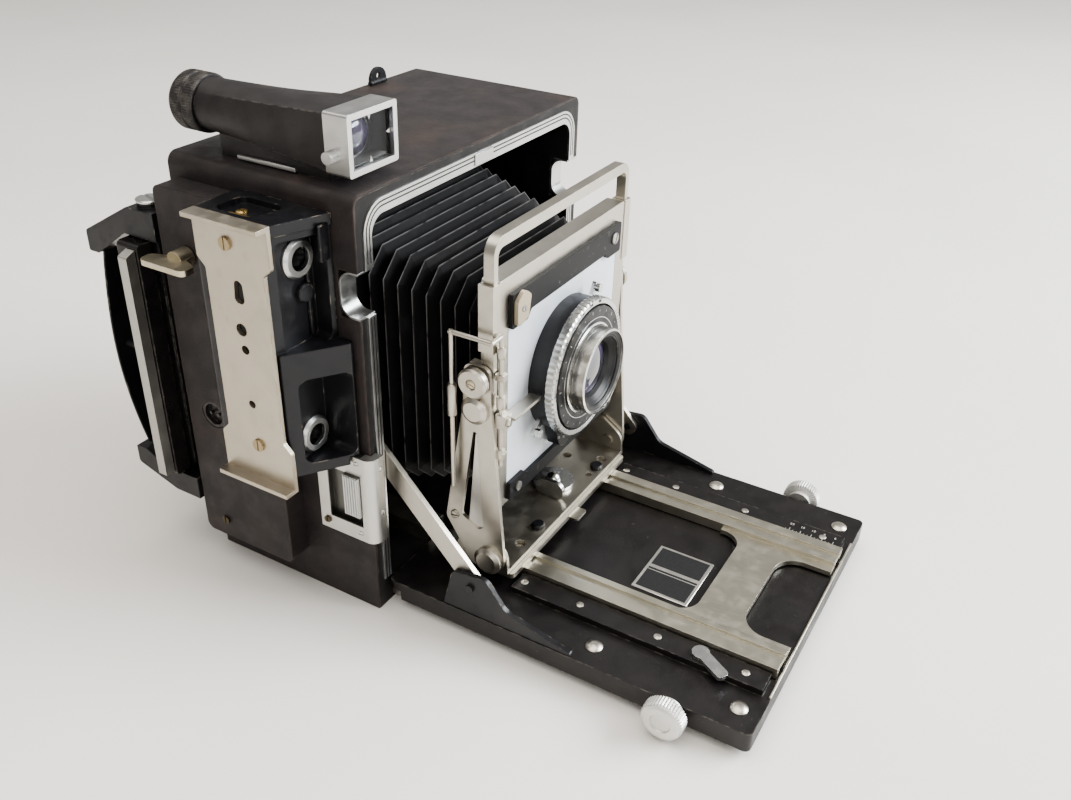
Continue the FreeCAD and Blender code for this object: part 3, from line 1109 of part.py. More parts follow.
# ---------------------------------------------------------------- make, check and write
def build():
    body_case()
    leather_covering()
    front_trim()
    tripod_socket()
    inner_rails()
    bed_hinge_pin()
    shutter_gear_cover()
    shutter_curtain()
    winding_key()
    flash_socket()
    node_rollers = (("upper_roller", "upper_roller_height", "-cover_out - 2"),
                    ("lower_roller", "lower_roller_height", "-roller_half - 7"))
    for label, height, left_end in node_rollers:
        roller(label, height, left_end)
    rangefinder_housing()
    rangefinder_rings()
    finder_glasses()
    flash_bracket_plate()
    body_screws()
    release_housing()
    release_slide()
    viewfinder_tube()
    viewfinder_frame()
    viewfinder_eyepiece()
    peep_sight()
    back_frame()
    spring_brackets()
    panel_springs()
    film_holder()
    dark_slide()
    focusing_panel()
    ground_glass()
    focusing_hood()
    hand_strap()
    bed_plate()
    strut_ears()
    strut("left_strut", -1)
    strut("right_strut", 1)
    focus_knobs()
    pinion_shaft()
    track_lock()
    focus_track()
    standard_base()
    shift_plate()
    base_lock_lever()
    standard_arms()
    pivot_bolts()
    rise_locks()
    lens_frame()
    lens_board()
    board_slide()
    board_foot()
    sports_frame()
    release_linkage()
    shutter_housing()
    speed_ring()
    lens_barrel()
    lens_elements()
    shutter_blades()
    lever("cocking_lever", 62, ("-frame_front - 7", "-frame_front - 5"), "7")
    lever("aperture_lever", 214, ("-frame_front - 5", "-frame_front - 3"), "9")
    bellows()


def check_and_write():
    doc.recompute()
    failed = [o.Label for o in doc.Objects if "Invalid" in o.State or "Error" in o.State]
    if failed:
        raise RuntimeError(f"failed objects: {failed}")
    os.makedirs("parts", exist_ok=True)
    for piece in NODES:
        if piece.Shape.isNull() or not piece.Shape.isValid():
            raise RuntimeError(f"{piece.Label} has no valid shape")
        piece.Shape.exportStep(f"parts/{piece.Label}.step")
    print(len(NODES), "nodes written")


build()
check_and_write()
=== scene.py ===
import json
import math

import bpy
from mathutils import Matrix, Vector


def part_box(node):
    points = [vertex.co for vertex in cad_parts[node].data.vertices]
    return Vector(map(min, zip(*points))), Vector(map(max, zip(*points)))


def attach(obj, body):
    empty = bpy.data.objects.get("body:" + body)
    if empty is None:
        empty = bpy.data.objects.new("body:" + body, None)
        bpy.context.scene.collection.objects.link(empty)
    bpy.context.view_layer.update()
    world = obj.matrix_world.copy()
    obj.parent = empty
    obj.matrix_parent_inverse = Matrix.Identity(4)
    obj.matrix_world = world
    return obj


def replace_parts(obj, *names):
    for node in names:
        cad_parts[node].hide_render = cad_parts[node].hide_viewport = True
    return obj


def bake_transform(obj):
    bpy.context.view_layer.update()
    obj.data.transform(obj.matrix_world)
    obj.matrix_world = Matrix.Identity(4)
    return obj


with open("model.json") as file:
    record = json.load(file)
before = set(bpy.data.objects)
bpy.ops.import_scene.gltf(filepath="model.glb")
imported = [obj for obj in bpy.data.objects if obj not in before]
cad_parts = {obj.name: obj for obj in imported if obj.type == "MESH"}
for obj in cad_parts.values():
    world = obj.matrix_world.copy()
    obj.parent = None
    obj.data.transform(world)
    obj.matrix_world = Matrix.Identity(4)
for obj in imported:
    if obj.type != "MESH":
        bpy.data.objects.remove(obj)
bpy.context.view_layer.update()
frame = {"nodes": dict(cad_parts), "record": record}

# A 4x5 folding-bed press camera.  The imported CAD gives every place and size; this script adds the
# finishes, the pleated bellows, the strap and the small parts that the CAD leaves out.
NODES = frame["nodes"]
MM = 0.001


def centre(node):
    low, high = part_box(node)
    return (Vector(low) + Vector(high)) / 2


def low(node, axis):
    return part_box(node)[0][axis]


def high(node, axis):
    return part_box(node)[1][axis]


LENS_Z = centre("shutter_blades").z


# ---------------------------------------------------------------- finishes
SOCKETS = {"sheen": "Sheen Weight", "specular": "Specular IOR Level", "coat": "Coat Weight",
           "coat_rough": "Coat Roughness", "clear": "Transmission Weight", "ior": "IOR"}


class Finish:
    """A procedural material: one Principled shader, with colour, roughness and bump laid over it."""

    def __init__(self, name, colour, rough, metal=0.0, round_edge=0.35 * MM, **sockets):
        self.material = bpy.data.materials.new(name)
        self.material.use_nodes = True
        self.tree = self.material.node_tree
        self.shader = self.tree.nodes["Principled BSDF"]
        self.shader.inputs["Metallic"].default_value = metal
        for socket, amount in sockets.items():
            self.shader.inputs[SOCKETS[socket]].default_value = amount
        self.place = self.node("ShaderNodeTexCoord").outputs["Object"]
        bevel = self.node("ShaderNodeBevel", samples=3)
        bevel.inputs["Radius"].default_value = round_edge
        self.rounded = bevel.outputs["Normal"]
        self.height = None
        self.colour = (*colour, 1)
        self.rough = rough
        self.base = colour

    def node(self, kind, **settings):
        made = self.tree.nodes.new(kind)
        for setting, choice in settings.items():
            setattr(made, setting, choice)
        return made

    def put(self, socket, source):
        if isinstance(source, bpy.types.NodeSocket):
            self.tree.links.new(source, socket)
        else:
            socket.default_value = source

    def maths(self, operation, first, second=0.0):
        made = self.node("ShaderNodeMath", operation=operation, use_clamp=False)
        self.put(made.inputs[0], first)
        self.put(made.inputs[1], second)
        return made.outputs[0]

    def stretched(self, stretch):
        if stretch == (1, 1, 1):
            return self.place
        made = self.node("ShaderNodeVectorMath", operation="MULTIPLY")
        self.put(made.inputs[0], self.place)
        made.inputs[1].default_value = stretch
        return made.outputs[0]

    def noise(self, size, detail=3.0, stretch=(1, 1, 1), distortion=0.0):
        made = self.node("ShaderNodeTexNoise")
        made.inputs["Scale"].default_value = 1 / size
        made.inputs["Detail"].default_value = detail
        made.inputs["Distortion"].default_value = distortion
        self.put(made.inputs["Vector"], self.stretched(stretch))
        return made.outputs["Fac"]

    def cells(self, size, feature="DISTANCE_TO_EDGE"):
        made = self.node("ShaderNodeTexVoronoi", feature=feature)
        made.inputs["Scale"].default_value = 1 / size
        self.put(made.inputs["Vector"], self.place)
        return made.outputs["Distance"]

    def step(self, source, start, end):
        """0 below start, 1 above end, smooth between; start may be the larger."""
        made = self.node("ShaderNodeMapRange", interpolation_type="SMOOTHSTEP")
        self.put(made.inputs["Value"], source)
        made.inputs["From Min"].default_value = min(start, end)
        made.inputs["From Max"].default_value = max(start, end)
        made.inputs["To Min"].default_value = 0.0 if start < end else 1.0
        made.inputs["To Max"].default_value = 1.0 if start < end else 0.0
        return made.outputs["Result"]

    def both(self, first, second):
        return self.maths("MULTIPLY", first, second)

    def edges(self, width=0.6 * MM):
        """1 on sharp outer and inner corners, 0 on the flats."""
        bevel = self.node("ShaderNodeBevel", samples=4)
        bevel.inputs["Radius"].default_value = width
        flat = self.node("ShaderNodeNewGeometry").outputs["Normal"]
        turned = self.node("ShaderNodeVectorMath", operation="DOT_PRODUCT")
        self.put(turned.inputs[0], bevel.outputs["Normal"])
        self.put(turned.inputs[1], flat)
        return self.step(self.maths("SUBTRACT", 1.0, turned.outputs["Value"]), 0.01, 0.12)

    def along(self, axis):
        split = self.node("ShaderNodeSeparateXYZ")
        self.put(split.inputs[0], self.place)
        return split.outputs[axis.upper()]

    def lens_radius(self):
        """Distance from the lens axis."""
        across = self.both(self.along("x"), self.along("x"))
        up = self.maths("SUBTRACT", self.along("z"), LENS_Z)
        return self.maths("SQRT", self.maths("ADD", across, self.both(up, up)))

    def attribute(self, name):
        return self.node("ShaderNodeAttribute", attribute_name=name).outputs["Fac"]

    def tint(self, mask, colour, strength=1.0):
        mix = self.node("ShaderNodeMix", data_type="RGBA")
        self.put(mix.inputs[0], self.maths("MULTIPLY", mask, strength))
        self.put(mix.inputs[6], self.colour)
        self.put(mix.inputs[7], (*colour, 1))
        self.colour = mix.outputs[2]
        return self

    def shade(self, mask, darkest):
        """Darkens the base colour where the mask is 0."""
        return self.tint(self.step(mask, 0.62, 0.38), [part * darkest for part in self.base])

    def roughen(self, mask, rough):
        mix = self.node("ShaderNodeMix", data_type="FLOAT")
        self.put(mix.inputs[0], mask)
        self.put(mix.inputs[2], self.rough)
        self.put(mix.inputs[3], rough)
        self.rough = mix.outputs[0]
        return self

    def raise_by(self, mask, amount):
        scaled = self.maths("MULTIPLY", mask, amount)
        self.height = scaled if self.height is None else self.maths("ADD", self.height, scaled)
        return self

    def done(self):
        self.put(self.shader.inputs["Base Color"], self.colour)
        self.put(self.shader.inputs["Roughness"], self.rough)
        normal = self.rounded
        if self.height is not None:
            bump = self.node("ShaderNodeBump")
            bump.inputs["Distance"].default_value = 1.0
            self.put(bump.inputs["Height"], self.height)
            self.put(bump.inputs["Normal"], normal)
            normal = bump.outputs["Normal"]
        self.put(self.shader.inputs["Normal"], normal)
        return self.material


def leather(name, colour, worn, grain, patch=0.0):
    """Grained leather: creased cells, a warmer brown where hands and edges rub."""
    made = Finish(name, colour, 0.56, round_edge=1.0 * MM, specular=0.4, sheen=0.04)
    made.shade(made.noise(14 * MM), 0.6)
    roof = made.step(made.along("z"), high("body_case", 2) - 0.3 * MM, high("body_case", 2) + 0.2 * MM)
    made.tint(made.both(roof, made.step(made.noise(45 * MM, 6), 0.52, 0.68)), [part * 1.2 for part in worn],
              0.4)
    made.tint(made.step(made.noise(30 * MM, 5), 0.5, 0.75), worn, 0.35 + patch)
    made.tint(made.both(made.edges(1.6 * MM), made.step(made.noise(6 * MM), 0.4, 0.6)), worn)
    made.tint(made.step(made.noise(1.1 * MM, 2), 0.72, 0.78), [part * 2.2 for part in worn], 0.35)
    made.raise_by(made.step(made.cells(grain), 0.0, 0.12), 0.07 * MM)
    made.raise_by(made.noise(grain * 0.6), 0.06 * MM)
    made.roughen(made.step(made.noise(9 * MM), 0.35, 0.7), 0.38)
    return made.done()


def crackle(name, colour, grain, rough=0.5):
    """Wrinkled or stippled black paint, rubbed to grey at its edges."""
    made = Finish(name, colour, rough, round_edge=0.6 * MM, specular=0.5)
    made.shade(made.noise(9 * MM), 0.65)
    made.tint(made.both(made.edges(1.0 * MM), made.step(made.noise(4 * MM, 5), 0.46, 0.6)),
              (0.16, 0.14, 0.12), 0.8)
    made.tint(made.step(made.noise(2.2 * MM, 4), 0.70, 0.76), (0.14, 0.12, 0.10), 0.35)
    made.raise_by(made.noise(grain, 4), 0.11 * MM)
    made.roughen(made.step(made.noise(12 * MM), 0.4, 0.7), rough * 0.7)
    return made.done()


def enamel(name, colour=(0.008, 0.008, 0.010), rough=0.32):
    """Smooth black enamel with chipped corners and fine scratches."""
    made = Finish(name, colour, rough, round_edge=0.8 * MM, coat=0.12, coat_rough=0.2, specular=0.4)
    chipped = made.both(made.edges(0.7 * MM), made.step(made.noise(5 * MM, 6), 0.55, 0.64))
    made.tint(chipped, (0.30, 0.26, 0.20))
    made.tint(made.step(made.noise(40 * MM, 6), 0.5, 0.8), (0.035, 0.033, 0.032))
    made.roughen(made.step(made.noise(7 * MM, 6), 0.45, 0.7), rough + 0.18)
    made.raise_by(made.noise(0.7 * MM, 2), 0.012 * MM)
    return made.done()


def metal(name, colour, rough, brush=None, stain=0.35, pits=0.02):
    """Satin or polished metal: brush lines, a dull film and fine dark spots."""
    made = Finish(name, colour, rough, metal=1.0, round_edge=0.3 * MM)
    dull = [part * 0.75 for part in colour]
    made.tint(made.step(made.noise(16 * MM, 6, distortion=0.4), 0.42, 0.75), dull, stain)
    made.tint(made.step(made.noise(1.4 * MM, 5), 0.70, 0.78), [part * 0.45 for part in colour], stain)
    made.roughen(made.step(made.noise(7 * MM, 5), 0.4, 0.7), min(rough + 0.1, 0.8))
    made.raise_by(made.noise(0.9 * MM, 3), pits * MM)
    if brush:
        lines = made.noise(0.35 * MM, 2, stretch=brush)
        made.raise_by(lines, 0.012 * MM)
        made.roughen(made.step(lines, 0.55, 0.75), rough + 0.1)
    return made


ALONG_X, ALONG_Y, ALONG_Z = (0.03, 1, 1), (1, 0.03, 1), (1, 1, 0.03)


def make_finishes():
    """Every finish by name; the names are the record's material slots, or a variant of one."""
    made = {}
    made["leather"] = leather("leather", (0.024, 0.018, 0.018), (0.055, 0.033, 0.024), 0.95 * MM)
    made["strap_leather"] = leather("strap_leather", (0.020, 0.013, 0.011), (0.060, 0.032, 0.020), 1.3 * MM,
                                    0.1)
    made["black_crackle"] = crackle("black_crackle", (0.020, 0.017, 0.017), 0.55 * MM)
    made["bed_covering"] = crackle("bed_covering", (0.012, 0.010, 0.010), 0.8 * MM, 0.42)
    made["black_plastic"] = crackle("black_plastic", (0.018, 0.015, 0.015), 0.9 * MM, 0.38)
    made["holder_black"] = crackle("holder_black", (0.016, 0.014, 0.014), 1.6 * MM, 0.33)
    made["black_enamel"] = enamel("black_enamel")
    made["shutter_black"] = enamel("shutter_black", (0.006, 0.006, 0.007), 0.4)
    made["case_inside"] = crackle("case_inside", (0.008, 0.007, 0.007), 1.2 * MM, 0.6)
    made["bright_trim"] = metal("bright_trim", (0.60, 0.60, 0.59), 0.30, ALONG_X, 0.2, 0.004).done()
    made["nickel"] = metal("nickel", (0.55, 0.52, 0.46), 0.32, ALONG_Z, 0.35, 0.01).done()
    made["nickel_flat"] = metal("nickel_flat", (0.50, 0.47, 0.41), 0.36, ALONG_Y, 0.45, 0.01).done()
    made["rail_metal"] = metal("rail_metal", (0.57, 0.54, 0.46), 0.32, ALONG_Y, 0.4, 0.01).done()
    made["chrome"] = metal("chrome", (0.66, 0.66, 0.65), 0.22, None, 0.12, 0.004).done()
    made["steel"] = metal("steel", (0.45, 0.44, 0.42), 0.32, None, 0.4).done()
    made["brass"] = metal("brass", (0.62, 0.56, 0.43), 0.32, ALONG_Y, 0.3, 0.01).done()
    made["true_brass"] = metal("true_brass", (0.55, 0.40, 0.18), 0.32, None, 0.5).done()
    made["slide_metal"] = metal("slide_metal", (0.66, 0.64, 0.60), 0.33, ALONG_Z, 0.4).done()
    made["knob_metal"] = metal("knob_metal", (0.70, 0.69, 0.66), 0.45, None, 0.25, 0.02).done()

    plate_finish = metal("tan_plate", (0.52, 0.475, 0.40), 0.36, ALONG_Z, 0.3)
    rubbed = plate_finish.both(plate_finish.edges(1.2 * MM),
                               plate_finish.step(plate_finish.noise(6 * MM, 5), 0.45, 0.6))
    plate_finish.tint(rubbed, (0.40, 0.27, 0.14), 0.6)
    plate_finish.tint(plate_finish.step(plate_finish.noise(9 * MM, 6), 0.62, 0.75), (0.44, 0.34, 0.22), 0.3)
    made["tan_plate"] = plate_finish.done()

    board = Finish("board_paint", (0.72, 0.76, 0.81), 0.38, metal=0.2, round_edge=0.4 * MM)
    board.shade(board.noise(25 * MM), 0.92)
    board.tint(board.step(board.noise(1.2 * MM, 6), 0.70, 0.76), (0.25, 0.25, 0.26), 0.6)
    board.tint(board.edges(0.8 * MM), (0.40, 0.38, 0.35), 0.5)
    board.raise_by(board.noise(0.5 * MM, 2), 0.015 * MM)
    board.roughen(board.step(board.noise(8 * MM), 0.4, 0.7), 0.5)
    made["board_paint"] = board.done()

    barrel = metal("lens_barrel", (0.62, 0.61, 0.58), 0.17, None, 0.25, 0.004)
    inside = barrel.step(barrel.lens_radius(), 19.9 * MM, 19.6 * MM)
    barrel.tint(inside, (0.012, 0.012, 0.013))
    barrel.roughen(inside, 0.42)
    barrel.put(barrel.shader.inputs["Metallic"], barrel.maths("SUBTRACT", 1.0, inside))
    made["lens_barrel"] = barrel.done()

    shell = metal("latch_shell", (0.58, 0.57, 0.54), 0.34, ALONG_Z, 0.3, 0.01)
    # Painted shade: the part set back from the housing's outer face, behind y = -48 mm, is darkened almost to
    # black where shade falls in the recess.
    sunk = shell.step(shell.along("x"), low("release_housing", 0) + 0.5 * MM,
                      low("release_housing", 0) + 0.9 * MM)
    behind = shell.step(shell.along("y"), -48.2 * MM, -47.8 * MM)
    shell.tint(shell.both(sunk, behind), (0.10, 0.098, 0.09), 0.9)
    made["latch_shell"] = shell.done()

    sheet = metal("dark_slide_sheet", (0.50, 0.49, 0.46), 0.36, ALONG_Z, 0.3, 0.01)
    covered = sheet.step(sheet.along("x"), low("dark_slide", 0) + 5.3 * MM, low("dark_slide", 0) + 5.6 * MM)
    sheet.tint(covered, (0.012, 0.011, 0.011))
    sheet.put(sheet.shader.inputs["Metallic"], sheet.maths("SUBTRACT", 1.0, covered))
    made["dark_slide_sheet"] = sheet.done()

    heads = metal("screw_brass", (0.42, 0.34, 0.22), 0.36, None, 0.5, 0.02)
    heads.tint(heads.step(heads.along("x"), -121.5 * MM, -121.2 * MM), (0.05, 0.04, 0.03), 0.8)
    made["screw_brass"] = heads.done()

    slide = Finish("board_slide", (0.007, 0.007, 0.008), 0.46, round_edge=0.3 * MM, specular=0.25)
    tab = slide.step(slide.along("y"), low("board_slide", 1) + 2.1 * MM, low("board_slide", 1) + 1.9 * MM)
    slide.tint(slide.step(slide.noise(3 * MM, 6), 0.62, 0.72), (0.10, 0.09, 0.08), 0.5)
    slide.tint(tab, (0.50, 0.44, 0.35))
    slide.put(slide.shader.inputs["Metallic"], tab)
    slide.raise_by(slide.noise(0.8 * MM), 0.02 * MM)
    made["board_slide"] = slide.done()

    foot = Finish("board_foot", (0.007, 0.007, 0.008), 0.46, round_edge=0.3 * MM, specular=0.25)
    heads = foot.step(foot.along("y"), low("board_foot", 1) + 0.95 * MM, low("board_foot", 1) + 0.8 * MM)
    foot.tint(foot.step(foot.noise(3 * MM, 6), 0.62, 0.72), (0.10, 0.09, 0.08), 0.5)
    foot.tint(heads, (0.30, 0.29, 0.27))
    foot.put(foot.shader.inputs["Metallic"], heads)
    foot.raise_by(foot.noise(0.8 * MM), 0.02 * MM)
    made["board_foot"] = foot.done()

    thread = Finish("thread", (0.16, 0.11, 0.07), 0.7)
    thread.raise_by(thread.noise(0.4 * MM, 2), 0.05 * MM)
    thread.shade(thread.noise(3 * MM), 0.6)
    made["thread"] = thread.done()

    pleats = Finish("bellows_leather", (0.0055, 0.005, 0.0058), 0.55, round_edge=0.2 * MM, specular=0.22)
    # Partly wear, partly painted highlight: the ridges of the outer folds are lightened to grey in patches,
    # standing in for the bright lit edges of the pleats.
    worn = pleats.both(pleats.step(pleats.attribute("ridge"), 0.90, 1.0),
                       pleats.step(pleats.noise(7 * MM, 5), 0.25, 0.5))
    pleats.tint(worn, (0.15, 0.145, 0.145), 0.9)
    pleats.tint(pleats.step(pleats.noise(18 * MM, 6), 0.5, 0.75), (0.015, 0.014, 0.015))
    pleats.raise_by(pleats.noise(0.6 * MM, 3), 0.05 * MM)
    pleats.roughen(pleats.step(pleats.noise(6 * MM), 0.4, 0.7), 0.6)
    made["bellows_leather"] = pleats.done()

    cloth = Finish("curtain_cloth", (0.012, 0.012, 0.012), 0.7, sheen=0.2)
    cloth.raise_by(cloth.noise(0.5 * MM, 1, stretch=(1, 1, 0.3)), 0.04 * MM)
    made["curtain_cloth"] = cloth.done()

    glass = Finish("glass", (0.80, 0.82, 0.86), 0.03, clear=1.0, ior=1.2)
    glass.roughen(glass.step(glass.noise(9 * MM, 5), 0.55, 0.8), 0.07)
    made["glass"] = glass.done()

    ground = Finish("ground_glass", (0.72, 0.75, 0.76), 0.45, clear=0.6, ior=1.5)
    ground.raise_by(ground.noise(0.25 * MM, 2), 0.02 * MM)
    made["ground_glass"] = ground.done()

    coated = Finish("coated_lens", (0.020, 0.018, 0.030), 0.04, metal=0.0, coat=1.0, coat_rough=0.02,
                    ior=1.9)
    # Painted reflection: the purple of the coating, growing from the centre towards the rim, is laid into the
    # base colour.
    coated.tint(coated.step(coated.lens_radius(), 4 * MM, 12 * MM), (0.075, 0.055, 0.12), 0.8)
    coated.roughen(coated.step(coated.noise(6 * MM, 4), 0.6, 0.8), 0.08)
    made["coated_lens"] = coated.done()

    mark = Finish("white_mark", (0.62, 0.61, 0.58), 0.5)
    mark.shade(mark.noise(1.5 * MM), 0.7)
    made["white_mark"] = mark.done()
    dark = Finish("dark_mark", (0.015, 0.015, 0.016), 0.5)
    dark.shade(dark.noise(1.5 * MM), 0.7)
    made["dark_mark"] = dark.done()
    return made


FINISH = make_finishes()
# The CAD nodes that don't simply wear the finish named by their own material slot.
SPECIAL = {"body_case": "case_inside", "bed_plate": "bed_covering", "ground_glass": "ground_glass",
           "lens_barrel": "lens_barrel", "lens_elements": "coated_lens", "standard_base": "nickel_flat",
           "shift_plate": "nickel_flat", "rise_locks": "nickel", "release_housing": "latch_shell",
           "dark_slide": "dark_slide_sheet",
           "release_linkage": "nickel", "rangefinder_rings": "bright_trim", "body_screws": "screw_brass",
           "board_slide": "board_slide",
           "board_foot": "board_foot"}


def dress_cad_nodes():
    slots = {part["node"]: part["material_slot"] for part in frame["record"]["subparts"]}
    for name, piece in NODES.items():
        finish = FINISH[SPECIAL.get(name, slots[name])]
        piece.data.materials.clear()
        piece.data.materials.append(finish)


# ---------------------------------------------------------------- mesh making
def add_piece(name, points, faces, finish, body, smooth=False):
    """A mesh piece in the row frame that rides on a CAD body."""
    mesh = bpy.data.meshes.new(name)
    mesh.from_pydata([tuple(p) for p in points], [], faces)
    mesh.validate()
    mesh.polygons.foreach_set("use_smooth", [smooth] * len(mesh.polygons))
    mesh.materials.append(FINISH[finish])
    piece = bpy.data.objects.new(name, mesh)
    bpy.context.scene.collection.objects.link(piece)
    if smooth:
        mesh.set_sharp_from_angle(angle=math.radians(32))
    if body:
        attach(piece, body)
    return piece


class Solids:
    """Collects closed solids, in millimetres, into one piece."""

    def __init__(self):
        self.points = []
        self.faces = []

    def rings(self, rings, closed_ends=True, loop=False):
        """Skin over rings of equal length; each ring is a list of points."""
        start, count = len(self.points), len(rings[0])
        for ring in rings:
            self.points.extend(Vector(p) for p in ring)
        spans = len(rings) if loop else len(rings) - 1
        for i in range(spans):
            here, there = start + i * count, start + ((i + 1) % len(rings)) * count
            for j in range(count):
                after = (j + 1) % count
                self.faces.append((here + j, here + after, there + after, there + j))
        if closed_ends and not loop:
            last = start + (len(rings) - 1) * count
            self.faces.append(tuple(range(start + count - 1, start - 1, -1)))
            self.faces.append(tuple(range(last, last + count)))
        return self

    def block(self, low_corner, high_corner, bevel=0.0):
        """A block whose edges along Z, top and bottom are chamfered by bevel."""
        (x0, y0, z0), (x1, y1, z1) = low_corner, high_corner
        levels = [(z0, bevel), (z0 + bevel, 0), (z1 - bevel, 0), (z1, bevel)] if bevel else [(z0, 0), (z1, 0)]
        rings = []
        for z, inset in levels:
            a, b, c, d = x0 + inset, x1 - inset, y0 + inset, y1 - inset
            k = bevel
            ring = [(a + k, c), (b - k, c), (b, c + k), (b, d - k), (b - k, d), (a + k, d), (a, d - k),
                    (a, c + k)]
            if not bevel:
                ring = [(a, c), (b, c), (b, d), (a, d)]
            rings.append([(x, y, z) for x, y in ring])
        return self.rings(rings)

    def turned(self, place, axis, profile, count=40, knurl=None, loop=False):
        """A solid of revolution.  profile: (radius, height); knurl: {profile index: depth}, every other line.
        loop joins the profile's end to its start, for a ring."""
        axis = Vector(axis).normalized()
        side = axis.orthogonal().normalized()
        other = axis.cross(side)
        rings = []
        for i, (radius, rise) in enumerate(profile):
            depth = (knurl or {}).get(i, 0)
            ring = []
            for j in range(count):
                angle = 2 * math.pi * j / count
                reach = max(radius - (depth if j % 2 else 0), 0.01)
                out = side * math.cos(angle) + other * math.sin(angle)
                ring.append(Vector(place) + axis * rise + out * reach)
            rings.append(ring)
        return self.rings(rings, loop=loop)

    def prism(self, outline, place, normal, thickness, up=(0, 0, 1)):
        """A flat plate of (u, v) outline points on the plane through place, thickened along its normal."""
        normal = Vector(normal).normalized()
        up = (Vector(up) - normal * normal.dot(Vector(up))).normalized()
        right = up.cross(normal)
        ring = [Vector(place) + right * u + up * v for u, v in outline]
        return self.rings([ring, [p + normal * thickness for p in ring]])

    def letters(self, text, size, place, normal, up, raised=0.12):
        """Raised figures, centred on place."""
        curve = bpy.data.curves.new("figures", "FONT")
        curve.body = text
        curve.size = size
        curve.align_x = "CENTER"
        curve.align_y = "CENTER"
        curve.extrude = raised / 2
        curve.resolution_u = 2
        shown = bpy.data.objects.new("figures", curve)
        mesh = bpy.data.meshes.new_from_object(shown)
        normal, up = Vector(normal).normalized(), Vector(up).normalized()
        right = up.cross(normal)
        start = len(self.points)
        for vertex in mesh.vertices:
            u, v, w = vertex.co
            self.points.append(Vector(place) + right * u + up * v + normal * (w + raised / 2))
        self.faces.extend(tuple(start + i for i in face.vertices) for face in mesh.polygons)
        bpy.data.meshes.remove(mesh)
        bpy.data.objects.remove(shown)
        bpy.data.curves.remove(curve)
        return self

    def screw(self, place, axis, radius, height, slot_turn=0.6):
        """A domed screw head cut by a real slot: two half domes and the floor between them."""
        axis = Vector(axis).normalized()
        side = axis.orthogonal().normalized()
        side = Matrix.Rotation(slot_turn, 3, axis) @ side
        other = axis.cross(side)
        half_slot = 0.17 * radius
        self.turned(place, axis, [(radius * 0.97, 0), (radius * 0.97, height * 0.45)], 20)
        for sign in (1, -1):
            rings = []
            for rise, share in ((0.45, 1.0), (0.72, 0.93), (0.92, 0.72), (1.0, 0.42)):
                reach = radius * share
                start = math.asin(min(half_slot / reach, 0.95))
                ring = []
                for j in range(9):
                    angle = start + (math.pi - 2 * start) * j / 8
                    out = side * math.cos(angle) + other * math.sin(angle) * sign
                    ring.append(Vector(place) + axis * height * rise + out * reach)
                rings.append(ring if sign > 0 else ring[::-1])
            self.rings(rings)
        return self

    def bar(self, path, radius, count=10):
        """A round bar along straight runs, with its joints mitred."""
        path = [Vector(p) for p in path]
        rings = []
        for i, point in enumerate(path):
            before = (point - path[i - 1]).normalized() if i else None
            after = (path[i + 1] - point).normalized() if i + 1 < len(path) else None
            along = ((before or after) + (after or before)).normalized()
            side = along.orthogonal().normalized()
            if rings:
                side = (last_side - along * last_side.dot(along)).normalized()
            last_side = side
            other = along.cross(side)
            rings.append([point + (side * math.cos(t) + other * math.sin(t)) * radius
                          for t in (2 * math.pi * j / count for j in range(count))])
        return self.rings(rings)

    def piece(self, name, finish, body, slot, smooth=True):
        return add_piece(name, [p * MM for p in self.points], self.faces, finish, body, smooth)


def rounded_path(corners, steps=8):
    """(u, v) points of an outline of (u, v, radius) corners, with each corner an arc."""
    path = []
    for i, (u, v, radius) in enumerate(corners):
        here = Vector((u, v))
        if not radius:
            path.append(here)
            continue
        before = (Vector(corners[i - 1][:2]) - here).normalized()
        after = (Vector(corners[(i + 1) % len(corners)][:2]) - here).normalized()
        half = before.angle(after) / 2
        middle = here + (before + after).normalized() * (radius / math.sin(half))
        start = here + before * (radius / math.tan(half)) - middle
        turn = start.angle_signed(here + after * (radius / math.tan(half)) - middle)
        for k in range(steps + 1):
            angle = -turn * k / steps
            path.append(middle + Matrix.Rotation(angle, 2) @ start)
    return path


# ---------------------------------------------------------------- bellows
BACK_Y, FRONT_Y = 5.0, -86.7
REAR_HALF, FRONT_HALF = 70.0, 50.0
PLEATS = 14
PLEAT_DEPTH = 8.5
SHEET = 0.9


def bellows_ring(y, outward):
    """One fold of the bellows: a square with cut corners.  outward: 1 on an outer fold, 0 on an inner one."""
    share = (BACK_Y - y) / (BACK_Y - FRONT_Y)
    half = REAR_HALF + (FRONT_HALF - REAR_HALF) * share - 0.2 - PLEAT_DEPTH * (1 - outward)
    cut = 10.5 - 6.5 * (1 - outward)
    z = LENS_Z / MM
    points = []
    for a, b, first in ((1, 1, 0), (-1, 1, 1), (-1, -1, 0), (1, -1, 1)):
        corner = [(a * half, b * (half - cut)), (a * (half - cut), b * half)]
        points.extend(corner[::-1] if first else corner)
    return [Vector((x, y, z + up)) for x, up in points], half


def shrunk(ring, amount):
    middle = Vector((0, ring[0].y, LENS_Z / MM))
    return [p + (middle - p).normalized() * amount for p in ring]


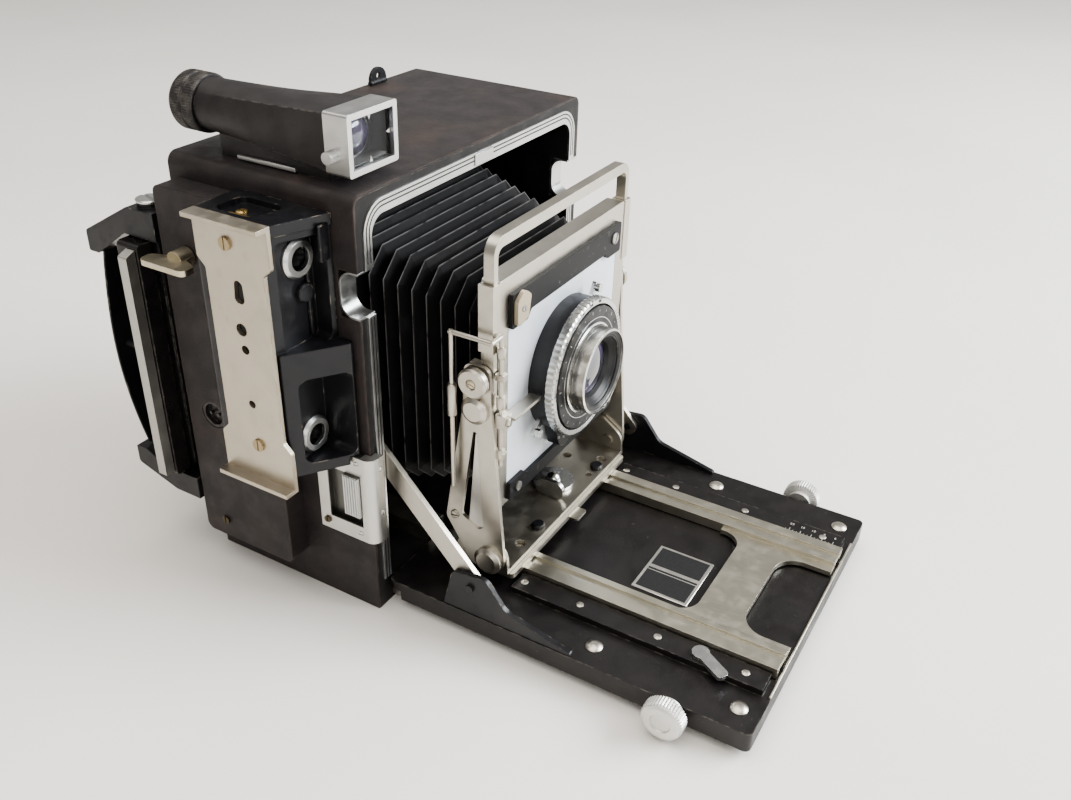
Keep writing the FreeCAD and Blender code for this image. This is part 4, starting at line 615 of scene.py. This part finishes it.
def make_bellows():
    """Pleated bellows in six lengths, from the body to the lens frame."""
    lengths = [("camera_body", "bed", 14), ("bed", "track", 19), ("track", "carriage", 23),
               ("carriage", "shift", 6), ("shift", "arms", 22), ("arms", "lens_standard", 7.7)]
    folds = 2 * PLEATS
    step = (BACK_Y - FRONT_Y) / folds
    levels = [BACK_Y - step * i for i in range(folds + 1)]

    def fold_at(y):
        """How far out the sheet is at y: 1 on an outer fold, 0 on an inner one."""
        place = (BACK_Y - y) / step
        left = place % 2
        return left if left <= 1 else 2 - left

    start = BACK_Y
    for number, (first, second, length) in enumerate(lengths):
        end = max(start - length, FRONT_Y)
        inside = [y for y in levels if end + 0.01 < y < start - 0.01]
        stations = [start] + inside + [end]
        fine = []
        for a, b in zip(stations, stations[1:]):
            fine.extend([a, a + (b - a) * 0.12, a + (b - a) * 0.5, a + (b - a) * 0.88])
        fine.append(end)
        outer, ridge = [], []
        for y in fine:
            outward = fold_at(y)
            ring, _ = bellows_ring(y, outward)
            outer.append(ring)
            ridge.extend([outward] * len(ring))
        inner = [shrunk(ring, SHEET) for ring in outer]
        solids = Solids().rings(outer + inner[::-1], loop=True)
        inner_ridge = [0.0] * len(ridge)
        piece = solids.piece(f"bellows_{number + 1}", "bellows_leather", None, "bellows_leather",
                             smooth=False)
        layer = piece.data.attributes.new("ridge", "FLOAT", "POINT")
        layer.data.foreach_set("value", ridge + inner_ridge)
        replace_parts(piece, "bellows")
        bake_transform(piece)
        start = end


# ---------------------------------------------------------------- body details
def make_trim_lines():
    """Black lines sunk along the bright moulding round the front opening."""
    front = low("front_trim", 1) / MM
    left, right = low("front_trim", 0) / MM + 4.8, high("front_trim", 0) / MM - 4.8
    bottom, top = low("front_trim", 2) / MM, high("front_trim", 2) / MM
    notch = (156, 177)
    solids = Solids()
    for inset in (1.5, 3.4):
        outline = [(left + inset, bottom, 0), (left + inset, top - inset, 13 - inset),
                   (right - inset, top - inset, 13 - inset), (right - inset, bottom, 0)]
        line = rounded_path(outline)
        runs = [[]]
        dense = []
        for a, b in zip(line, line[1:]):
            pieces = max(1, int((b - a).length / 3))
            dense.extend(a + (b - a) * k / pieces for k in range(pieces))
        dense.append(line[-1])
        for point in dense:
            if notch[0] - 0.4 < point.y < notch[1] + 0.4:
                if runs[-1]:
                    runs.append([])
            else:
                runs[-1].append(point)
        for run in runs:
            if len(run) < 2:
                continue
            rings = []
            for i, point in enumerate(run):
                along = (run[min(i + 1, len(run) - 1)] - run[max(i - 1, 0)]).normalized()
                side = Vector((-along.y, along.x)) * 0.32
                a, b = point + side, point - side
                rings.append([(a.x, front - 0.06, a.y), (b.x, front - 0.06, b.y),
                              (b.x, front + 0.3, b.y), (a.x, front + 0.3, a.y)])
            solids.rings(rings)
    solids.piece("trim_lines", "dark_mark", "camera_body", "bright_trim", smooth=False)


LENS = LENS_Z / MM


def make_lens_details():
    """Milled speed ring with its figures, the aperture scale, and marks on the shutter's face."""
    front = low("speed_ring", 1) / MM
    back = high("speed_ring", 1) / MM
    outer = high("speed_ring", 0) / MM
    inner = outer - 3.1
    ring = Solids().turned((0, front, LENS), (0, 1, 0),
                           [(inner, 0), (outer - 0.8, 0), (outer, 0.8), (outer, back - front),
                            (inner, back - front)],
                           144, {2: 0.45, 3: 0.45}, loop=True)
    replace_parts(ring.piece("speed_ring_milled", "chrome", "speed_dial", "chrome", smooth=False), "speed_ring")

    figures = Solids()
    for i, figure in enumerate(("1", "2", "5", "10", "25", "50", "100", "200", "400")):
        angle = math.radians(196 - 15 * i)
        out = Vector((math.cos(angle), 0, math.sin(angle)))
        figures.letters(figure, 2.1, Vector((0, front, LENS)) + out * (inner + 1.3), (0, -1, 0), out, 0.08)
    for i in range(30):
        angle = math.radians(-80 + 4 * i)
        out = Vector((math.cos(angle), 0, math.sin(angle)))
        place = Vector((0, front, LENS)) + out * (inner + 0.5)
        figures.prism([(-0.12, 0), (0.12, 0), (0.12, 1.4), (-0.12, 1.4)], place, (0, -1, 0), 0.08, up=out)
    figures.piece("speed_figures", "dark_mark", "speed_dial", "shutter_black", smooth=False)

    face = low("shutter_housing", 1) / MM
    marks = Solids()
    for i in range(24):
        angle = math.radians(15 * i)
        out = Vector((math.cos(angle), 0, math.sin(angle)))
        tall = 1.6 if i % 3 == 0 else 0.9
        place = Vector((0, face, LENS)) + out * 27.6
        marks.prism([(-0.13, 0), (0.13, 0), (0.13, tall), (-0.13, tall)], place, (0, -1, 0), 0.06, up=out)
    for i, figure in enumerate(("4.5", "5.6", "8", "11", "16", "22", "32")):
        angle = math.radians(243 + 9 * i)
        out = Vector((math.cos(angle), 0, math.sin(angle)))
        figure_place = Vector((0, -104.4, LENS)) + out * 36.6
        marks.letters(figure, 2.0, figure_place, (0, -1, 0), out, 0.08)
    marks.piece("shutter_marks", "white_mark", "lens_standard", "shutter_black", smooth=False)

    trim = Solids()
    trim.turned((0, face - 0.05, LENS), (0, 1, 0), [(24.6, 0), (25.0, 0), (25.0, 0.3), (24.6, 0.3)], 96,
                loop=True)
    trim.turned((0, face - 0.05, LENS), (0, 1, 0), [(21.3, -0.3), (22.4, 0), (22.4, 0.3), (21.3, 0.3)], 96,
                loop=True)
    trim.piece("shutter_face_rings", "chrome", "lens_standard", "chrome")

    inner_cone = Solids()
    barrel = low("lens_barrel", 1) / MM
    for depth, radius in ((1.7, 17.6), (3.0, 16.6), (4.2, 15.5)):
        inner_cone.turned((0, barrel + depth, LENS), (0, 1, 0),
                          [(radius - 0.5, 0), (radius + 0.3, 0), (radius + 0.3, 0.5), (radius - 0.5, 0.5)],
                          72, loop=True)
    inner_cone.piece("lens_baffles", "shutter_black", "lens_standard", "shutter_black")

    cell = Solids().turned((0, low("lens_elements", 1) / MM + 3.3, LENS), (0, 1, 0),
                           [(12.6, -0.6), (14.6, -0.6), (14.6, 0.9), (12.6, 0.9)], 72, loop=True)
    cell.piece("lens_retaining_ring", "chrome", "lens_standard", "chrome")


def make_standard_details():
    """Webs behind the arm slots, rivets, brass lock screws and the small studs on the base."""
    outer = low("standard_arms", 0) / MM
    webs, rivets, lock_screws, studs = Solids(), Solids(), Solids(), Solids()
    for side in (-1, 1):
        face = -side * outer
        web = [(-88.3, 98.5), (-87.2, 98.5), (-83.4, 49.5), (-91.6, 44.2)]
        webs.rings([[(face - side * 1.0, y, z) for y, z in web], [(face - side * 1.8, y, z) for y, z in web]])
        rivets.screw((face, -76.2, 50.5), (side, 0, 0), 2.3, 1.2, 0.9)
        lock = side * (abs(low("rise_locks", 0)) / MM - 0.8)
        lock_screws.screw((lock, -88.6, 127), (side, 0, 0), 2.0, 0.8, 0.5)
        lock_screws.turned((lock - side * 4.2, -88.6, 127), (side, 0, 0),
                           [(6.6, 1.2), (7.2, 1.4), (7.2, 3.2), (6.6, 3.4)], 56, {1: 0.5, 2: 0.5}, loop=True)
    deck_top = 25.9
    for x, y in ((-24, -99), (38, -99.5)):
        studs.turned((x, y, deck_top), (0, 0, 1),
                     [(3.0, 0), (3.4, 0.5), (3.4, 2.0), (2.8, 2.4), (0.1, 2.4)], 32, {1: 0.3, 2: 0.3})
    webs.piece("arm_webs", "slide_metal", "arms", "nickel", smooth=False)
    rivets.piece("arm_rivets", "nickel", "arms", "nickel")
    lock_screws.piece("rise_lock_screws_brass", "brass", "rise_lock_screws", "brass")
    studs.piece("base_studs", "black_enamel", "shift", "black_enamel")

    tab_screw = Solids()
    strip = low("board_slide", 1) / MM + 2.2
    tab_screw.screw((44, strip, 157.5), (0, -1, 0), 3.0, 1.2, 0.3)
    tab_screw.screw((-45, strip - 2.2, 156.5), (0, -1, 0), 1.6, 0.5, 1.0)
    tab_screw.piece("board_lock_screw", "steel", "board_lock", "steel")

    link = Solids()
    for z0, z1 in ((88, 93), (114, 120), (139, 144)):
        link.turned((-60, -98.5, z0), (0, 0, 1),
                    [(1.1, 0), (1.9, 0), (2.1, 0.4), (2.1, z1 - z0 - 0.4), (1.9, z1 - z0), (1.1, z1 - z0)],
                    24)
    link.turned((-67.6, -78, 108), (0, 0, 1),
                [(1.1, 0), (2.0, 0), (2.2, 0.5), (2.2, 15), (1.7, 16), (1.1, 16)], 24)
    link.screw((-58.9, -101.6, 107.5), (0, -1, 0), 2.2, 1.4, 0.4)
    link.piece("release_collars", "nickel", "release_rods", "chrome")


def make_side_details():
    """Small parts on the rangefinder side: finder loop screw, bracket, release ribs and screws."""
    small = Solids()
    small.screw((-106, -5, 197.9), (0, 0, 1), 2.6, 1.3, 0.4)
    small.block((-112.5, -14, 197.9), (-109.5, -2, 199.2), 0.3)
    small.piece("loop_screw", "true_brass", "camera_body", "brass")

    tab = Solids()
    tab.block((-99.6, -38.8, 182), (-93.8, -37.4, 197.5), 0.35)
    tab.turned((-101.5, -29, 168), (0, -1, 0), [(4.2, 0), (4.2, 2.0), (3.6, 2.6), (0.1, 2.6)], 28)
    tab.block((-99.5, -30.4, 148), (-97.9, -29, 179), 0.3)
    tab.piece("rangefinder_tab", "black_enamel", "camera_body", "black_enamel")
    # Painted shade: a thin dark disc on the tab's face stands for the shaded inside of a hole.
    hole_shade = Solids()
    hole_shade.turned((-96.6, -38.75, 187), (0, -1, 0), [(1.5, 0), (1.5, 0.12), (0.1, 0.12)], 20)
    hole_shade.piece("rangefinder_tab_hole_shade", "dark_mark", "camera_body", "black_enamel")

    ribs = Solids()
    slide_low, slide_high = (Vector(corner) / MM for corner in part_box("release_slide"))
    for i in range(6):
        y = slide_low.y + 0.9 + i * (slide_high.y - slide_low.y - 1.8) / 5
        ribs.rings([[(slide_low.x + 0.4, y - 0.5, z), (slide_low.x - 0.5, y - 0.3, z),
                     (slide_low.x - 0.5, y + 0.3, z), (slide_low.x + 0.4, y + 0.5, z)]
                    for z in (slide_low.z + 0.4, slide_high.z - 0.4)])
    ribs.piece("release_ribs", "bright_trim", "release_button", "bright_trim", smooth=False)

    heads = Solids()
    front = low("release_housing", 1) / MM
    side = low("release_housing", 0) / MM
    for place, axis in (((-90.9, front, 60), (0, -1, 0)), ((-90.9, front, 84), (0, -1, 0)),
                        ((side, -46.3, 86.6), (-1, 0, 0)), ((side, -46.3, 48.0), (-1, 0, 0))):
        heads.screw(place, axis, 1.3, 0.5, 0.8)
    heads.piece("release_screws", "chrome", "camera_body", "chrome")


def make_finder_details():
    """Dark lining, inner lens and pointer marks of the tube finder, and its ribbed eyepiece."""
    hood_low, hood_high = (Vector(corner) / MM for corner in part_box("viewfinder_frame"))
    middle_x, middle_z = -70.5, (hood_low.z + hood_high.z) / 2
    across, tall = 12.95, 9.85
    square = [(-1, -1), (1, -1), (1, 1), (-1, 1)]
    lining = Solids()
    outline = [(0, -41.2), (0, -32.9), (0.5, -32.9), (0.5, -41.2)]
    lining.rings([[(middle_x + a * (across - inset), y, middle_z + b * (tall - inset)) for a, b in square]
                  for inset, y in outline], loop=True)
    lining.block((middle_x - across, -33.2, middle_z - tall), (middle_x + across, -32.9, middle_z + tall))
    lining.piece("finder_lining", "dark_mark", "camera_body", "black_crackle", smooth=False)
    lens = Solids().turned((middle_x, -33.2, middle_z), (0, -1, 0),
                           [(8.6, 0), (8.6, 1.2), (7.4, 2.6), (5.2, 3.8), (2.5, 4.6), (0.1, 4.8)], 48)
    lens.piece("finder_inner_lens", "coated_lens", "camera_body", "glass")
    rim = Solids().turned((middle_x, -32.8, middle_z), (0, -1, 0),
                          [(8.6, 0), (9.3, 0), (9.3, 1.6), (8.6, 1.6)], 48, loop=True)
    rim.piece("finder_lens_rim", "steel", "camera_body", "steel")

    marks = Solids()
    glass_front = low("finder_glasses", 1) / MM
    for u, v in ((0, 1), (1, 0), (0, -1), (-1, 0)):
        up = Vector((-u, 0, -v))
        edge = Vector((middle_x + u * 12.6, glass_front - 0.02, middle_z + v * 9.6))
        marks.prism([(-1.0, 0), (1.0, 0), (0, 2.4)], edge, (0, -1, 0), 0.25, up=up)
    marks.piece("finder_pointers", "white_mark", "camera_body", "bright_trim", smooth=False)

    eye = centre("viewfinder_eyepiece") / MM
    start = low("viewfinder_eyepiece", 1) / MM
    radius = high("viewfinder_eyepiece", 2) / MM - eye.z
    ring = Solids().turned((eye.x, start, eye.z), (0, 1, 0),
                           [(9.1, 0), (radius - 0.5, 0), (radius, 1), (radius, 5.6), (radius - 0.7, 6.1),
                            (radius - 0.7, 6.7), (radius, 7.2), (radius, 12), (radius - 1.5, 14), (5, 14),
                            (5, 12),
                            (9.1, 12)], 140, {2: 0.2, 3: 0.2, 6: 0.2, 7: 0.2}, loop=True)
    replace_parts(ring.piece("eyepiece_ribbed", "black_crackle", "finder_eyepiece", "black_plastic",
                           smooth=False),
                "viewfinder_eyepiece")


def make_bed_details():
    """Round-head screws, the blank tag, the front rim and the distance scale on the bed, and the knobs."""
    top = 14.5
    heads = Solids()
    for side in (-1, 1):
        for y in (-157, -226):
            heads.turned((side * 73, y, top - 0.1), (0, 0, 1),
                         [(4.0, 0), (4.0, 0.5), (3.2, 1.2), (1.8, 1.7), (0.1, 1.9)], 28)
        for y in (-110, -140, -180, -222):
            heads.turned((side * 55.5, y, 17.7), (0, 0, 1), [(1.9, 0), (1.9, 0.3), (1.2, 0.6), (0.1, 0.7)],
                         20)
    heads.piece("bed_screws", "nickel", "bed", "nickel")

    tag = Solids().block((-27, -182, top - 0.1), (8.5, -153, top + 0.6), 0.25)
    tag.piece("bed_tag", "slide_metal", "bed", "slide_metal")
    panels = Solids()
    for x0, x1 in ((-25.4, -11.6), (-7.2, 6.9)):
        panels.block((x0, -180.4, top + 0.5), (x1, -154.6, top + 0.72), 0.08)
    panels.block((-10.9, -180.4, top + 0.5), (-9.6, -154.6, top + 0.68), 0.05)
    panels.piece("bed_tag_panels", "dark_mark", "bed", "black_enamel", smooth=False)

    rim = Solids().block((-61.4, -235.9, top - 0.1), (61.4, -235.0, top + 1.3), 0.15)
    rim.piece("bed_front_rim", "rail_metal", "bed", "rail_metal")

    scale = Solids()
    for i in range(14):
        y = -228 + i * 1.9
        long = 3.2 if i % 3 == 0 else 1.8
        scale.prism([(-0.14, 0), (0.14, 0), (0.14, long), (-0.14, long)], (51.2, y, 17.8), (0, 0, 1), 0.05,
                    up=(1, 0, 0))
    for i, figure in enumerate(("6", "8", "10", "15", "25")):
        scale.letters(figure, 2.4, (57.8, -228 + i * 5.7, 17.8), (0, 0, 1), (1, 0, 0), 0.06)
    scale.piece("distance_scale", "white_mark", "bed", "knob_metal", smooth=False)

    knobs = Solids()
    for side in (-1, 1):
        knobs.turned((side * 96, -200, 11.5), (-side, 0, 0),
                     [(0.1, 0.7), (4.4, 0.7), (4.8, 0), (7.6, 0), (9.0, 0.6), (9.8, 1.6), (9.8, 6.6),
                      (6.3, 8), (6.3, 10.2)],
                     88, {5: 0.45, 6: 0.45})
    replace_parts(knobs.piece("focus_knobs_knurled", "knob_metal", "focus_pinion", "knob_metal", smooth=False),
                "focus_knobs")


def make_strap():
    """Leather hand strap: a crowned band with a stitched edge, held by a metal plate at each end."""
    middle_z, reach = 110.0, 62.0
    outer_x, inner_x = 106.0, 93.0
    rings, stitches = [], Solids()
    steps = 36
    path = []
    for i in range(steps + 1):
        t = -1 + 2 * i / steps
        path.append((inner_x + (outer_x - inner_x) * (1 - t * t), middle_z + reach * t, t))
    for x, z, t in path:
        half = 12.8 - 2.6 * t * t
        slope = Vector((reach, 0, (outer_x - inner_x) * 2 * t)).normalized()
        ring = []
        for j in range(20):
            angle = 2 * math.pi * j / 20
            across = half * math.copysign(abs(math.cos(angle)) ** 0.35, math.cos(angle))
            rise = math.copysign(abs(math.sin(angle)) ** 0.6, math.sin(angle))
            crown = 1.15 + 0.5 * (1 - (across / half) ** 2)
            ring.append(Vector((x, across, z)) + slope * rise * crown - slope * 1.2)
        rings.append(ring)
    band = Solids().rings(rings)
    band_piece = band.piece("strap_band", "strap_leather", "camera_body", "leather")
    for x, z, t in path[2:-2]:
        half = 10.6 - 2.6 * t * t
        slope = Vector((reach, 0, (outer_x - inner_x) * 2 * t)).normalized()
        along = Vector((-slope.z, 0, slope.x))
        for side in (-1, 1):
            spot = Vector((x, side * half, z)) + slope * 0.12
            stitches.bar([spot - along * 1.0, spot - along * 0.6 + slope * 0.2,
                          spot + along * 0.6 + slope * 0.2,
                          spot + along * 1.0], 0.32, 6)
    stitches.piece("strap_stitches", "thread", "camera_body", "leather")
    plates, heads = Solids(), Solids()
    for z0, z1 in ((34, 47.5), (172.5, 186)):
        plates.block((92.0, -16, z0), (95.4, 16, z1), 0.6)
        for y in (-11, 11):
            heads.screw((95.4, y, (z0 + z1) / 2), (1, 0, 0), 2.4, 0.6, 0.5)
    plates_piece = plates.piece("strap_plates", "nickel", "camera_body", "nickel")
    heads.piece("strap_screws", "steel", "camera_body", "steel")
    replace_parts(band_piece, "hand_strap")
    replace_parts(plates_piece, "hand_strap")


def bow_spring(side):
    """A leaf spring between arm and foot: narrow at its ends, wide and bowed back in the middle."""
    top, foot = 157.0, 54.0
    rings = []
    for i in range(25):
        t = i / 24
        z = foot + (top - foot) * t
        y = 86.2 + 6.2 * t + 4.6 * math.sin(math.pi * t) * (1 - 0.35 * t)
        half = 3.6 + 3.2 * math.sin(math.pi * t) ** 0.8
        rings.append([(side * 97 + a * half, y + b * 0.5, z) for a,
                      b in ((-1, -1), (1, -1), (1, 1), (-1, 1))])
    return rings


def make_springs():
    """Bow springs of the back, fixed to the body, and the caps of the spring arms."""
    leaves = Solids()
    for side in (-1, 1):
        leaves.rings(bow_spring(side))
    leaves_piece = leaves.piece("bow_springs", "black_enamel", "camera_body", "black_enamel")
    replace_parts(leaves_piece, "panel_springs")
    caps = Solids()
    for side in (-1, 1):
        caps.screw((side * 97, 60, 187), (0, 0, 1), 5.8, 1.6, 0.5)
    caps.piece("spring_arm_caps", "chrome", "camera_body", "chrome")


def make_back_details():
    """Screws in the back frame and the focusing hood's latch."""
    heads = Solids()
    frame_back = high("back_frame", 1) / MM
    for side in (-1, 1):
        for z in (42.5, 110, 177):
            heads.screw((side * 78, frame_back - 0.2, z), (0, 1, 0), 2.2, 0.9, 0.4 + z)
    heads.piece("back_screws", "steel", "camera_body", "steel")
    hood_back = high("focusing_hood", 1) / MM
    bottom = low("focusing_hood", 2) / MM
    latch = Solids().block((-9, hood_back - 0.2, bottom + 3), (9, hood_back + 1.2, bottom + 10), 0.4)
    latch.turned((0, hood_back + 1.1, bottom + 6.5), (0, 1, 0),
                 [(2.6, 0), (2.6, 1.0), (2.0, 1.5), (0.1, 1.7)], 28)
    latch.piece("hood_latch", "nickel", "hood", "nickel")
    creases = Solids()
    for inset in (6, 8):
        x, z0, z1 = 66 - inset, bottom + inset, high("focusing_hood", 2) / MM - inset
        corners = [(-x, z0), (x, z0), (x, z1), (-x, z1), (-x, z0)]
        for (ax, az), (bx, bz) in zip(corners, corners[1:]):
            creases.bar([(ax, hood_back + 0.02, az), (bx, hood_back + 0.02, bz)], 0.3, 6)
    creases.piece("hood_embossing", "leather", "hood", "leather")


def make_body_details():
    roof = high("body_case", 2) / MM + 1
    trim_front = low("front_trim", 1) / MM
    Solids().block((-7.5, trim_front - 0.7, 198.6), (7.5, trim_front + 0.2, 204.2), 0.25).piece(
        "trim_badge", "bright_trim", "camera_body", "bright_trim")
    Solids().block((-83.4, -14, roof + 0.6), (-81.3, 17.5, roof + 2.6), 0.3).piece(
        "finder_shoe_strip", "bright_trim", "camera_body", "bright_trim")


dress_cad_nodes()
make_bellows()
make_trim_lines()
make_body_details()
make_lens_details()
make_standard_details()
make_side_details()
make_finder_details()
make_bed_details()
make_strap()
make_back_details()
make_springs()


# ---------------------------------------------------------------- stage, light and camera
def make_stage():
    floor = Finish("floor", (0.86, 0.83, 0.79), 0.6)
    floor.shade(floor.noise(0.35, 3), 0.96)
    mesh = bpy.data.meshes.new("floor")
    reach = 6.0
    mesh.from_pydata([(-reach, -reach, 0), (reach, -reach, 0), (reach, reach, 0), (-reach, reach, 0)], [],
                     [(0, 1, 2, 3)])
    mesh.materials.append(floor.done())
    piece = bpy.data.objects.new("floor", mesh)
    bpy.context.scene.collection.objects.link(piece)


def make_light(name, place, target, size, power, colour):
    light = bpy.data.lights.new(name, "AREA")
    light.shape = "RECTANGLE"
    light.size, light.size_y = size
    light.energy = power
    light.color = colour
    lamp = bpy.data.objects.new(name, light)
    lamp.location = place
    lamp.rotation_euler = (Vector(target) - Vector(place)).to_track_quat("-Z", "Y").to_euler()
    bpy.context.scene.collection.objects.link(lamp)


def make_world():
    world = bpy.data.worlds.new("room")
    world.use_nodes = True
    background = world.node_tree.nodes["Background"]
    background.inputs["Color"].default_value = (0.95, 0.93, 0.90, 1)
    background.inputs["Strength"].default_value = 0.45
    bpy.context.scene.world = world


def make_camera():
    azimuth, elevation, roll = math.radians(-60.5), math.radians(31.0), math.radians(1.7)
    back = Vector((math.sin(azimuth) * math.cos(elevation), -math.cos(azimuth) * math.cos(elevation),
                   math.sin(elevation)))
    right = Vector((math.cos(azimuth), math.sin(azimuth), 0))
    up = back.cross(right)
    tilted_right = right * math.cos(roll) + up * math.sin(roll)
    tilted_up = up * math.cos(roll) - right * math.sin(roll)
    data = bpy.data.cameras.new("camera")
    data.sensor_width = 36.0
    data.lens = 35.13
    data.clip_start = 0.01
    camera = bpy.data.objects.new("camera", data)
    turn = Matrix((tilted_right, tilted_up, back)).transposed().to_4x4()
    camera.matrix_world = Matrix.Translation((-0.3892, -0.3018, 0.3511)) @ turn
    bpy.context.scene.collection.objects.link(camera)
    bpy.context.scene.camera = camera


make_stage()
make_world()
make_light("window", (0.9, -1.5, 1.1), (0, -0.05, 0.1), (1.4, 1.1), 74, (0.93, 0.97, 1.0))
make_light("ceiling", (-0.2, 0.1, 1.7), (0, 0, 0.1), (1.8, 1.8), 26, (1.0, 0.96, 0.9))
make_light("fill", (-1.5, -0.9, 0.8), (0, 0, 0.1), (1.2, 1.0), 9, (1.0, 0.97, 0.93))
bpy.context.scene.view_settings.view_transform = "AgX"
bpy.context.scene.view_settings.look = "AgX - Medium High Contrast"
make_camera()
